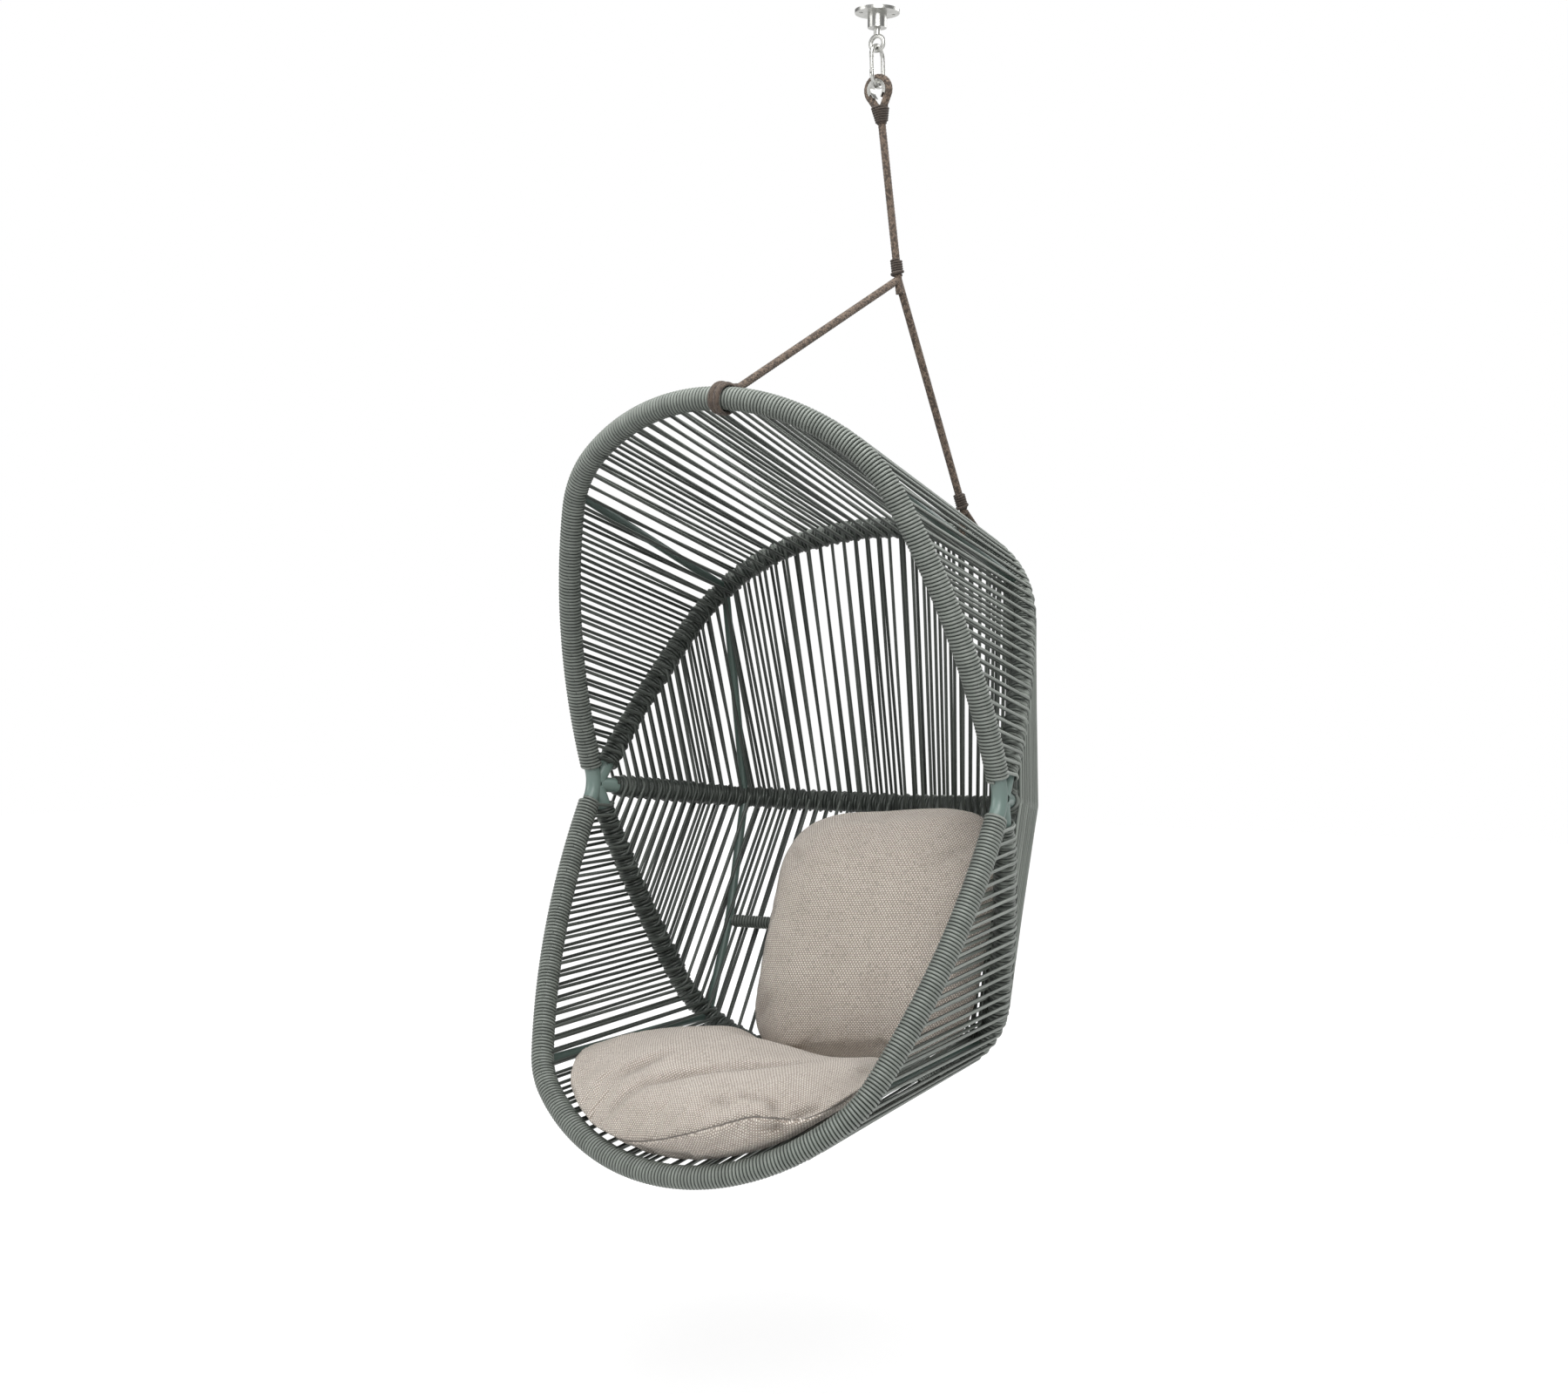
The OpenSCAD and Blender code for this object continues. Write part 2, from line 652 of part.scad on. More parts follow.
module crossbar_winding() {
    reach = bend[0] - rib_d / 2 - 2;
    hung() color(cord_green) translate([-reach, bend[1], bend[2]]) rotate([0, 90, 0]) difference() {
        cylinder(h = 2 * reach, d = crossbar_d + 2 * cord_d);
        translate([0, 0, -1]) cylinder(h = 2 * reach + 2, d = crossbar_d + 0.2);
    }
}

// ---- cushions ----

module pillow(points) {
    polyhedron(points = points, faces = stack_faces(2 * pillow_rings - 1, pillow_sides));
}

module seat_cushion() {
    last = pillow_sides - 1;
    points = [
        seat_point(0, 0, true),
        for (k = [1 : pillow_rings]) for (j = [0 : last]) seat_point(k, j, true),
        for (k = [pillow_rings - 1 : -1 : 1]) for (j = [0 : last]) seat_point(k, j, false),
        seat_point(0, 0, false)
    ];
    hung() color(taupe) pillow(points);
}

module back_cushion() {
    last = pillow_sides - 1;
    points = [
        back_point(0, 0, true),
        for (k = [1 : pillow_rings]) for (j = [0 : last]) back_point(k, j, true),
        for (k = [pillow_rings - 1 : -1 : 1]) for (j = [0 : last]) back_point(k, j, false),
        back_point(0, 0, false)
    ];
    hung() color(taupe) translate(back_at) rotate([-back_lean, 0, 0]) pillow(points);
}

ceiling_plate();
swivel_housing();
swivel_eye();
carabiner();
gate_pin();
carabiner_gate();
thimble();
rope_eye();
eye_seizing();
main_rope();
knot_seizing();
front_leg();
front_loop();
rear_leg();
rear_seizing();
rear_loop();
side_joint(1);  // side_joint_right
side_joint(-1);  // side_joint_left
arch_tube(HOOD);  // hood_rim_tube
stubbed_tube(UPPER);  // upper_back_tube
stubbed_tube(MIDDLE);  // middle_back_tube
stubbed_tube(LOWER);  // lower_back_tube
arch_tube(SEAT);  // seat_rim_tube
arch_winding(HOOD, rim_gap);  // hood_rim_winding
arch_winding(UPPER, winding_gap);  // upper_back_winding
arch_winding(MIDDLE, winding_gap);  // middle_back_winding
arch_winding(LOWER, winding_gap);  // lower_back_winding
arch_winding(SEAT, rim_gap);  // seat_rim_winding
hood_rib(1);  // hood_rib_right
hood_rib(-1);  // hood_rib_left
upper_back_rib(1);  // upper_back_rib_right
upper_back_rib(-1);  // upper_back_rib_left
lower_back_rib(1);  // lower_back_rib_right
lower_back_rib(-1);  // lower_back_rib_left
seat_rib(1);  // seat_rib_right
seat_rib(-1);  // seat_rib_left
crossbar();
crossbar_winding();
web(HOOD, UPPER, 0);  // hood_web
web(UPPER, MIDDLE, 0.5);  // upper_back_web
web(LOWER, MIDDLE, 0);  // lower_back_web
web(SEAT, LOWER, 0);  // seat_web
seat_cushion();
back_cushion();
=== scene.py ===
"""Hanging egg chair: cord-wound frame, strung panels, cushions and rope harness.

Every shape is worked out in chair millimetres (origin midway between the side joints, X across,
front -Y, Z up) and written into its mesh in metres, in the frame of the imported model.
"""
import logging
import math
from dataclasses import dataclass
from enum import Enum

import bpy
import numpy as np
from mathutils import Matrix, Vector
from numpy.typing import NDArray


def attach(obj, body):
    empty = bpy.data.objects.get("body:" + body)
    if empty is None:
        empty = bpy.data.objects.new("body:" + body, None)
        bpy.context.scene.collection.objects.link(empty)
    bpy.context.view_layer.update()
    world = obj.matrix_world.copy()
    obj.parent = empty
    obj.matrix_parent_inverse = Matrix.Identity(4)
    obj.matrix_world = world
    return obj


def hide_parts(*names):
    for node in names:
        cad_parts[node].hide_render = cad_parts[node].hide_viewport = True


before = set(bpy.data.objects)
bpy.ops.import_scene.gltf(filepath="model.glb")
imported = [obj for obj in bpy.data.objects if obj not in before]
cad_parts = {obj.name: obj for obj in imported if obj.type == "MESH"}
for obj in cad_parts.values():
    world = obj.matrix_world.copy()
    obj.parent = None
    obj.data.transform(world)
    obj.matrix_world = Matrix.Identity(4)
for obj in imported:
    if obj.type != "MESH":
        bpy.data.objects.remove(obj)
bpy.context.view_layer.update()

log = logging.getLogger("egg_chair")
Array = NDArray[np.float64]
Colour = tuple[int, int, int]
Socket = bpy.types.NodeSocket
Piece = bpy.types.Object

MM = 0.001
# The ceiling plate's middle, the hinge that the rope hangs from, the knot, and a point inside.
ANCHOR = np.array([107.0, 120.291, 1393.792])
HINGE = np.array([107.0, 124.0, 1258.0])
KNOT = np.array([139.0, 144.0, 914.0])
INTERIOR = np.array([0.0, -60.0, -30.0])
# From the middle to a side joint, the cord's radius, the pitch of its turns and of its strands.
HALF_SPAN = 425.0
CORD_R = 3.1
CORD_PITCH = 6.35
STRAND_PITCH = 25.4
# Radius of the cord's centre line: on a rim, in a rail's base layer and on top of that layer.
RIM_WRAP_R = 17.2
RAIL_BASE_R = 15.9
RAIL_LOOP_R = 18.4
ROPE_R = 7.0
WHITE = (1.0, 1.0, 1.0, 1.0)
# The distance that says a point is far from any seam, and what sets the pattern of a cushion's
# underside apart from its top's, in metres.
NO_SEAM = 99.0
UNDERSIDE = 1.7


class Slot(Enum):
    """Material slots of the record that the pieces take their finish from."""

    PAINT = "frame_paint"
    CORD = "green_cord"
    ROPE = "brown_rope"
    STEEL = "plated_steel"
    WEAVE = "taupe_weave"


class Body(Enum):
    """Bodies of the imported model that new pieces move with."""

    CHAIR = "chair"
    SEAT = "seat_pad"
    BACK = "back_pad"


# ---- Array helpers --------------------------------------------------------------------------


def unit(v: Array) -> Array:
    """Vectors of length one along the last axis."""
    return v / np.maximum(np.linalg.norm(v, axis=-1, keepdims=True), 1e-12)


def across(v: Array, axis: Array) -> Array:
    """The part of v square to the unit vectors axis, made length one."""
    return unit(v - np.sum(v * axis, axis=-1, keepdims=True) * axis)


def around(turn: Array, first: Array, second: Array, radius: float | Array = 1.0) -> Array:
    """Offsets from an axis at turns about it: radius (first cos turn + second sin turn)."""
    return (radius * np.cos(turn))[..., None] * first + (radius * np.sin(turn))[..., None] * second


def walked(paths: Array) -> Array:
    """Length walked to each point of paths given as [..., count, 3]."""
    steps = np.linalg.norm(np.diff(paths, axis=-2), axis=-1)
    return np.concatenate([np.zeros((*steps.shape[:-1], 1)), np.cumsum(steps, axis=-1)], axis=-1)


def smooth(t: Array) -> Array:
    """Smooth step from 0 to 1 as t goes from 0 to 1: 3 t^2 - 2 t^3."""
    c = np.clip(t, 0.0, 1.0)
    return c * c * (3.0 - 2.0 * c)


def corner_cut(points: Array) -> Array:
    """Chaikin's corner cutting along axis -2, with both ends kept.

    Args:
        points: Paths as [..., count, 3].

    Returns:
        Paths as [..., 2 * count, 3] whose points lie 1/4 and 3/4 along each side.
    """
    a, b = points[..., :-1, :], points[..., 1:, :]
    cut = np.stack([0.75 * a + 0.25 * b, 0.25 * a + 0.75 * b], axis=-2)
    cut = cut.reshape(*points.shape[:-2], -1, points.shape[-1])
    return np.concatenate([points[..., :1, :], cut, points[..., -1:, :]], axis=-2)


def turned(axis: str, degrees: float) -> Array:
    """A 3 x 3 rotation matrix about X, Y or Z."""
    return np.array(Matrix.Rotation(math.radians(degrees), 3, axis))


def shown(name: str, data: bpy.types.ID) -> Piece:
    """A new object of the data, linked to the scene."""
    made = bpy.data.objects.new(name, data)
    bpy.context.scene.collection.objects.link(made)
    return made


def mark(mesh: bpy.types.Mesh, name: str, values: Array) -> None:
    """Writes a value for each point of a mesh, for its material."""
    if name not in mesh.attributes:
        mesh.attributes.new(name, "FLOAT", "POINT")
    mesh.attributes[name].data.foreach_set("value", values.astype(np.float32))


@dataclass
class Shell:
    """Raw mesh data: points in chair millimetres, faces of four and of three corners, the UVs of
    the four-cornered ones, and a tone for each point."""

    points: Array
    quads: NDArray[np.int64]
    tris: NDArray[np.int64]
    quad_uv: Array
    tone: Array

    def build(self, name: str) -> Piece:
        """Writes the shell into a new mesh object at the origin.

        Args:
            name: Name of the object and its mesh.

        Returns:
            The new object, linked to the scene.
        """
        mesh = bpy.data.meshes.new(name)
        place = (self.points - ANCHOR) * MM
        corners = np.concatenate([self.quads.ravel(), self.tris.ravel()]).astype(np.int32)
        sizes = np.repeat([4, 3], [len(self.quads), len(self.tris)])
        mesh.vertices.add(len(place))
        mesh.vertices.foreach_set("co", place.astype(np.float32).ravel())
        mesh.loops.add(len(corners))
        mesh.loops.foreach_set("vertex_index", corners)
        mesh.polygons.add(len(sizes))
        mesh.polygons.foreach_set("loop_start", (np.cumsum(sizes) - sizes).astype(np.int32))
        mesh.update(calc_edges=True)
        mesh.polygons.foreach_set("use_smooth", np.ones(len(sizes), bool))
        uv = np.zeros((len(corners), 2), np.float32)
        uv[:self.quads.size] = self.quad_uv.reshape(-1, 2)
        mesh.uv_layers.new(name="UVMap").data.foreach_set("uv", uv.ravel())
        # On cord the tone carries painted shade, between turns and on the inward side, as well as
        # each tube's own tone.
        mark(mesh, "tone", self.tone)
        mesh.validate()
        return shown(name, mesh)


def join(*shells: Shell) -> Shell:
    """One shell of several, kept as separate islands."""
    starts = np.cumsum([0] + [len(s.points) for s in shells])
    return Shell(
        np.concatenate([s.points for s in shells]),
        np.concatenate([s.quads + start for s, start in zip(shells, starts)]),
        np.concatenate([s.tris + start for s, start in zip(shells, starts)]),
        np.concatenate([s.quad_uv for s in shells]),
        np.concatenate([s.tone for s in shells]),
    )


def sweep(paths: Array, guide: Array, radius: float | Array, sides: int,
          tone: float | Array = 0.0, painted_groove_shade: float = 0.0, inner: float = 0.0) -> Shell:
    """Closed round tubes along many paths at once.

    A ring stands square to the path at each of its points. Its first axis is tangent x guide, so
    the tube doesn't twist where the guide turns slowly.

    Args:
        paths: Centre lines as [tubes, points, 3].
        guide: Directions never parallel to the path, broadcast against paths.
        radius: Radius of the tube, broadcast to [tubes, points, sides].
        sides: Corners of each ring.
        tone: Shade from 0 to 1, broadcast to [tubes, points].
        painted_groove_shade: Painted shade added along the two lines where neighbouring turns
            touch, darker between turns.
        inner: Painted shade added on the side that faces the chair's interior, where less light
            falls.

    Returns:
        The tubes as one shell. The UV map runs along the tube in metres and once round it.
    """
    tubes, count = paths.shape[:2]
    heading = unit(np.gradient(paths, axis=1))
    first = unit(np.cross(heading, np.broadcast_to(guide, paths.shape)))
    angle = 2 * math.pi * np.arange(sides) / sides
    spokes = around(angle, first[:, :, None], np.cross(heading, first)[:, :, None])
    reach = np.broadcast_to(radius, (tubes, count, sides))
    rings = (paths[:, :, None] + reach[..., None] * spokes).reshape(-1, 3)
    corner = np.arange(len(rings)).reshape(tubes, count, sides)
    turn = np.roll(corner, -1, axis=2)
    quads = np.stack([corner[:, :-1], turn[:, :-1], turn[:, 1:], corner[:, 1:]], -1)
    heads = np.broadcast_to((len(rings) + np.arange(tubes))[:, None], (tubes, sides))
    tris = np.concatenate([
        np.stack([heads, turn[:, 0], corner[:, 0]], -1).reshape(-1, 3),
        np.stack([heads + tubes, corner[:, -1], turn[:, -1]], -1).reshape(-1, 3),
    ])
    u, v = np.broadcast_arrays(walked(paths)[..., None] * MM, np.arange(sides) / sides)
    u0, u1, v0, v1 = u[:, :-1], u[:, 1:], v[:, :-1], v[:, :-1] + 1.0 / sides
    # Painted shade: darker between neighbouring turns and on the side facing the chair's interior,
    # added to each tube's own tone.
    facing = np.sum(spokes * unit(INTERIOR - paths)[:, :, None], axis=-1)
    shade = (np.broadcast_to(tone, (tubes, count))[..., None]
             + painted_groove_shade * np.abs(np.sin(angle)) ** 2.5 + inner * smooth((facing + 0.35) / 0.7))
    shade = np.clip(shade, 0.0, 1.0)
    return Shell(
        np.concatenate([rings, paths[:, 0], paths[:, -1]]),
        quads.reshape(-1, 4),
        tris,
        np.stack([u0, v0, u0, v1, u1, v1, u1, v0], -1).reshape(-1, 4, 2),
        np.concatenate([shade.ravel(), shade[:, 0, 0], shade[:, -1, 0]]),
    )


# ---- Materials ------------------------------------------------------------------------------


def linear(colour: Colour) -> tuple[float, float, float, float]:
    """A colour written as 0-255 sRGB, as the linear values that a shader takes."""
    c = np.array(colour) / 255.0
    r, g, b = np.where(c <= 0.04045, c / 12.92, ((c + 0.055) / 1.055) ** 2.4)
    return (float(r), float(g), float(b), 1.0)


class Graph:
    """A node tree and short ways of adding to it. A fed value is a number, a tuple or an output."""

    def __init__(self, tree: bpy.types.NodeTree) -> None:
        """Keeps the tree, emptied of nodes."""
        tree.nodes.clear()
        self.tree = tree

    def node(self, kind: str, feeds: dict[int | str, object] | None = None,
             **settings: object) -> bpy.types.Node:
        """Adds a node, sets its properties, then feeds its inputs.

        Args:
            kind: Type of the node.
            feeds: Values of its inputs, by their numbers or names.
            **settings: Its properties.

        Returns:
            The node.
        """
        made = self.tree.nodes.new(kind)
        for key, value in settings.items():
            setattr(made, key, value)
        for key, value in (feeds or {}).items():
            if isinstance(value, Socket):
                self.tree.links.new(value, made.inputs[key])
            else:
                made.inputs[key].default_value = value
        return made

    def math(self, operation: str, *values: object) -> Socket:
        """A Math node of up to three values."""
        made = self.node("ShaderNodeMath", dict(enumerate(values)), operation=operation)
        return made.outputs[0]

    def mix(self, factor: object, a: object, b: object) -> Socket:
        """A colour mix from a to b."""
        made = self.node("ShaderNodeMix", {0: factor, 6: a, 7: b}, data_type="RGBA",
                         clamp_factor=True)
        return made.outputs[2]

    def ramp(self, value: object, low: float, high: float, to_low: float = 0.0,
             to_high: float = 1.0) -> Socket:
        """A clamped straight-line map of a value."""
        feeds = dict(enumerate((value, low, high, to_low, to_high)))
        return self.node("ShaderNodeMapRange", feeds, clamp=True).outputs[0]

    def noise(self, vector: object, scale: object, detail: float = 2.0,
              rough: float = 0.5) -> Socket:
        """A noise value."""
        feeds = {"Vector": vector, "Scale": scale, "Detail": detail, "Roughness": rough}
        return self.node("ShaderNodeTexNoise", feeds).outputs["Fac"]

    def scaled(self, vector: object, scale: tuple[float, float, float]) -> Socket:
        """A vector times a scale for each axis."""
        return self.node("ShaderNodeMapping", {"Vector": vector, "Scale": scale}).outputs[0]

    def split(self, vector: object) -> tuple[Socket, ...]:
        """The three parts of a vector."""
        return tuple(self.node("ShaderNodeSeparateXYZ", {0: vector}).outputs)

    def bump(self, height: object, strength: float, distance: float) -> Socket:
        """A normal bent by a height in metres."""
        feeds = {"Strength": strength, "Distance": distance, "Height": height}
        return self.node("ShaderNodeBump", feeds).outputs["Normal"]

    def uv(self) -> Socket:
        """The UV map, in metres."""
        return self.node("ShaderNodeUVMap", uv_map="UVMap").outputs[0]

    def place(self) -> Socket:
        """Object coordinates, in metres."""
        return self.node("ShaderNodeTexCoord").outputs["Object"]

    def marked(self, name: str) -> Socket:
        """A value that the mesh carries at its points."""
        return self.node("ShaderNodeAttribute", attribute_name=name).outputs["Fac"]

    def crossing(self, a: object, b: object) -> tuple[Socket, Socket]:
        """Two families of threads that cross over and under, a and b being the thread numbers.

        Returns:
            sin(pi a) cos(pi b), which is +1 or -1 on the pillows of one family or the other, and a
            random value for each pillow.
        """
        wave = self.math("MULTIPLY", self.math("SINE", self.math("MULTIPLY", a, math.pi)),
                         self.math("COSINE", self.math("MULTIPLY", b, math.pi)))
        cell = self.node("ShaderNodeCombineXYZ",
                         {0: self.math("FLOOR", a), 1: self.math("ROUND", b)})
        fleck = self.node("ShaderNodeTexWhiteNoise", {"Vector": cell.outputs[0]},
                          noise_dimensions="3D")
        return wave, fleck.outputs["Value"]


class Effects:
    """The shared node groups, each made once, and their placing in a material."""

    def __init__(self) -> None:
        """Makes the groups."""
        self.tone = self.tone_group()
        self.cloth = self.cloth_group()

    def group(self, name: str, inputs: dict[str, tuple[str, object]],
              outputs: dict[str, str]) -> tuple[Graph, bpy.types.NodeOutputs]:
        """An empty shader node group.

        Args:
            name: Name of the group.
            inputs: Socket name to its kind and default value.
            outputs: Socket name to its kind.

        Returns:
            The group's graph and the outputs of its input node.
        """
        tree = bpy.data.node_groups.new(name, "ShaderNodeTree")
        for label, (kind, default) in inputs.items():
            socket = tree.interface.new_socket(label, in_out="INPUT",
                                               socket_type="NodeSocket" + kind)
            if default is not None:
                socket.default_value = default
        for label, kind in outputs.items():
            tree.interface.new_socket(label, in_out="OUTPUT", socket_type="NodeSocket" + kind)
        graph = Graph(tree)
        return graph, graph.node("NodeGroupInput").outputs

    def tone_group(self) -> bpy.types.NodeTree:
        """Soft blotches of a second colour: broad noise about a mid value."""
        g, given = self.group(
            "worn_tone",
            {"Vector": ("Vector", None), "Scale": ("Float", 8.0),
             "Color": ("Color", (0.5, 0.5, 0.5, 1.0)), "Dark": ("Color", (0.3, 0.3, 0.3, 1.0)),
             "Amount": ("Float", 0.3)},
            {"Color": "Color", "Mask": "Float"},
        )
        mask = g.ramp(g.noise(given["Vector"], given["Scale"], 5.0), 0.35, 0.7)
        colour = g.mix(g.math("MULTIPLY", mask, given["Amount"]), given["Color"], given["Dark"])
        g.node("NodeGroupOutput", {"Color": colour, "Mask": mask})
        return g.tree

    def cloth_group(self) -> bpy.types.NodeTree:
        """Plain weave of thick yarns over a flat pattern in metres, with yarns that wander."""
        g, given = self.group(
            "basket_weave",
            {"Vector": ("Vector", None), "Across": ("Float", 0.003), "Along": ("Float", 0.004)},
            {"Height": "Float", "Warp": "Float", "Yarn": "Float", "Fleck": "Float"},
        )
        drift = g.math("MULTIPLY_ADD", g.noise(given["Vector"], 25.0, 1.0), 0.5, -0.25)
        x, y, _ = g.split(given["Vector"])
        wave, fleck = g.crossing(g.math("ADD", g.math("DIVIDE", x, given["Across"]), drift),
                                 g.math("ADD", g.math("DIVIDE", y, given["Along"]), drift))
        yarn = g.math("POWER", g.math("ABSOLUTE", wave), 0.55)
        fibre = g.noise(given["Vector"], 1500.0, 2.0, 0.6)
        g.node("NodeGroupOutput", {
            "Height": g.math("MULTIPLY_ADD", fibre, 0.25, yarn),
            "Warp": g.ramp(wave, -0.25, 0.25), "Yarn": yarn, "Fleck": fleck,
        })
        return g.tree

    def worn(self, g: Graph, scale: float, light: object, dark: object,
             amount: float) -> bpy.types.NodeOutputs:
        """Places the worn tone over a colour: blotches of dark at a scale, by an amount."""
        feeds = {"Vector": g.place(), "Scale": scale, "Color": light, "Dark": dark,
                 "Amount": amount}
        return g.node("ShaderNodeGroup", feeds, node_tree=self.tone).outputs

    def woven(self, g: Graph, width: float, length: float) -> bpy.types.NodeOutputs:
        """Places the weave on the UV map, with yarns of a width and pillows of a length."""
        feeds = {"Vector": g.uv(), "Across": width, "Along": length}
        return g.node("ShaderNodeGroup", feeds, node_tree=self.cloth).outputs


@dataclass(frozen=True)
class Finish:
    """A finish: its name and its colours, from light to dark."""

    name: str
    colours: tuple[Colour, ...]

    def look(self, g: Graph, effects: Effects) -> dict[str, object]:
        """What the finish feeds to its Principled shader. Each finish gives its own."""
        raise NotImplementedError

    def make(self, effects: Effects) -> bpy.types.Material:
        """The finish as a new material."""
        made = bpy.data.materials.new(self.name)
        made.use_nodes = True
        g = Graph(made.node_tree)
        shader = g.node("ShaderNodeBsdfPrincipled", self.look(g, effects))
        g.node("ShaderNodeOutputMaterial", {"Surface": shader.outputs[0]})
        return made


class CordFinish(Finish):
    """Round plastic cord: satin, a shade of its own for each strand, painted shade from its tone,
    fine lines along it.
    """

    def look(self, g: Graph, effects: Effects) -> dict[str, object]:
        """Lines from the cord's UV map, shade from its tone, which also holds painted shade."""
        light, dark = map(linear, self.colours)
        worn = effects.worn(g, 14.0, light, dark, 0.12)
        # The tone holds each strand's own tone and the painted shade between turns and on sides
        # facing the interior.
        shade = g.mix(g.marked("tone"), worn["Color"], dark)
        lines = g.noise(g.scaled(g.uv(), (25.0, 14.0, 1.0)), 3.0, 3.0, 0.7)
        return {
            "Base Color": g.mix(g.ramp(lines, 0.45, 0.8, 0.0, 0.12), shade, dark),
            "Roughness": g.ramp(lines, 0.3, 0.7, 0.36, 0.52),
            "Normal": g.bump(lines, 0.25, 0.0002),
            "Specular IOR Level": 0.45,
        }


class PaintFinish(Finish):
    """Powder coat: satin, with a fine orange-peel and faint blotches."""

    def look(self, g: Graph, effects: Effects) -> dict[str, object]:
        """Blotches and peel from Object coordinates."""
        worn = effects.worn(g, 9.0, *map(linear, self.colours), 0.35)
        return {
            "Base Color": worn["Color"],
            "Roughness": g.ramp(worn["Mask"], 0.0, 1.0, 0.34, 0.46),
            "Normal": g.bump(g.noise(g.place(), 900.0), 0.3, 0.0001),
        }


@dataclass(frozen=True)
class RopeFinish(Finish):
    """Braided fibre rope: brown, with dark and pale flecks on its plaits, darker in bindings."""

    plaits: float = 8.0
    lay: float = 0.045

    def look(self, g: Graph, effects: Effects) -> dict[str, object]:
        """Plaits from the rope's UV map, in step with its relief."""
        light, mid, dark = map(linear, self.colours)
        along, round_it, _ = g.split(g.uv())
        run = g.math("DIVIDE", along, self.lay)
        wave, fleck = g.crossing(
            g.math("MULTIPLY", g.math("ADD", round_it, run), self.plaits),
            g.math("MULTIPLY", g.math("SUBTRACT", round_it, run), self.plaits))
        pillow = g.math("ABSOLUTE", wave)
        worn = effects.worn(g, 160.0, mid, light, 0.9)
        flecked = g.mix(g.ramp(fleck, 0.55, 0.75, 0.0, 0.8), worn["Color"], dark)
        gap = g.math("MULTIPLY", g.ramp(pillow, 0.0, 0.3, 1.0, 0.0), 0.7)
        fibre = g.noise(g.place(), 2200.0, 2.0, 0.6)
        return {
            "Base Color": g.mix(g.math("MAXIMUM", gap, g.marked("tone")), flecked, dark),
            "Normal": g.bump(g.math("ADD", pillow, fibre), 0.6, 0.0004),
            "Roughness": 0.85,
            "Sheen Weight": 0.15,
            "Sheen Roughness": 0.5,
        }


class SteelFinish(Finish):
    """Zinc-plated steel: brushed streaks, dull spots and a little darkening."""

    def look(self, g: Graph, effects: Effects) -> dict[str, object]:
        """Streaks and spots from Object coordinates."""
        worn = effects.worn(g, 55.0, *map(linear, self.colours), 0.6)
        brushed = g.noise(g.scaled(g.place(), (60.0, 60.0, 4.0)), 40.0, 3.0, 0.6)
        return {
            "Base Color": worn["Color"],
            "Roughness": g.ramp(brushed, 0.3, 0.7, 0.24, 0.42),
            "Normal": g.bump(brushed, 0.15, 0.0001),
            "Metallic": 1.0,
        }


class WeaveFinish(Finish):
    """Thick plain-woven cushion cloth: pale pillows, brown gaps, flecked yarns, a dark seam,
    painted shade in its folds.
    """

    def look(self, g: Graph, effects: Effects) -> dict[str, object]:
        """Yarns from the cushion's UV map, seam and painted fold shade from the values that it
        carries.
        """
        pale, mid, gap, seam_tone = map(linear, self.colours)
        cloth = effects.woven(g, 0.003, 0.004)
        worn = effects.worn(g, 16.0, pale, mid, 0.3)
        yarn = g.mix(g.ramp(cloth["Warp"], 0.0, 1.0, 1.0, 0.0), worn["Color"], mid)
        fleck = g.mix(g.ramp(cloth["Fleck"], 0.8, 1.0, 0.0, 0.3), yarn, gap)
        paler = g.mix(g.ramp(cloth["Fleck"], 0.2, 0.05, 0.0, 0.25), fleck, pale)
        grooved = g.mix(g.ramp(cloth["Yarn"], 0.2, 0.62, 0.85, 0.0), paler, gap)
        # Painted shade: the cloth darkens towards its gap colour in the creases of its folds.
        painted_fold_shade = g.mix(g.math("MULTIPLY", g.marked("fold"), 0.45), grooved, gap)
        seam = g.ramp(g.math("ABSOLUTE", g.marked("seam")), 0.4, 1.5, 1.0, 0.0)
        relief = g.math("SUBTRACT", cloth["Height"], g.math("MULTIPLY", seam, 1.5))
        return {
            "Base Color": g.mix(g.math("MULTIPLY", seam, 0.5), painted_fold_shade, seam_tone),
            "Normal": g.bump(relief, 1.0, 0.0012),
            "Roughness": 0.92,
            "Sheen Weight": 0.2,
            "Sheen Roughness": 0.6,
            "Specular IOR Level": 0.25,
        }


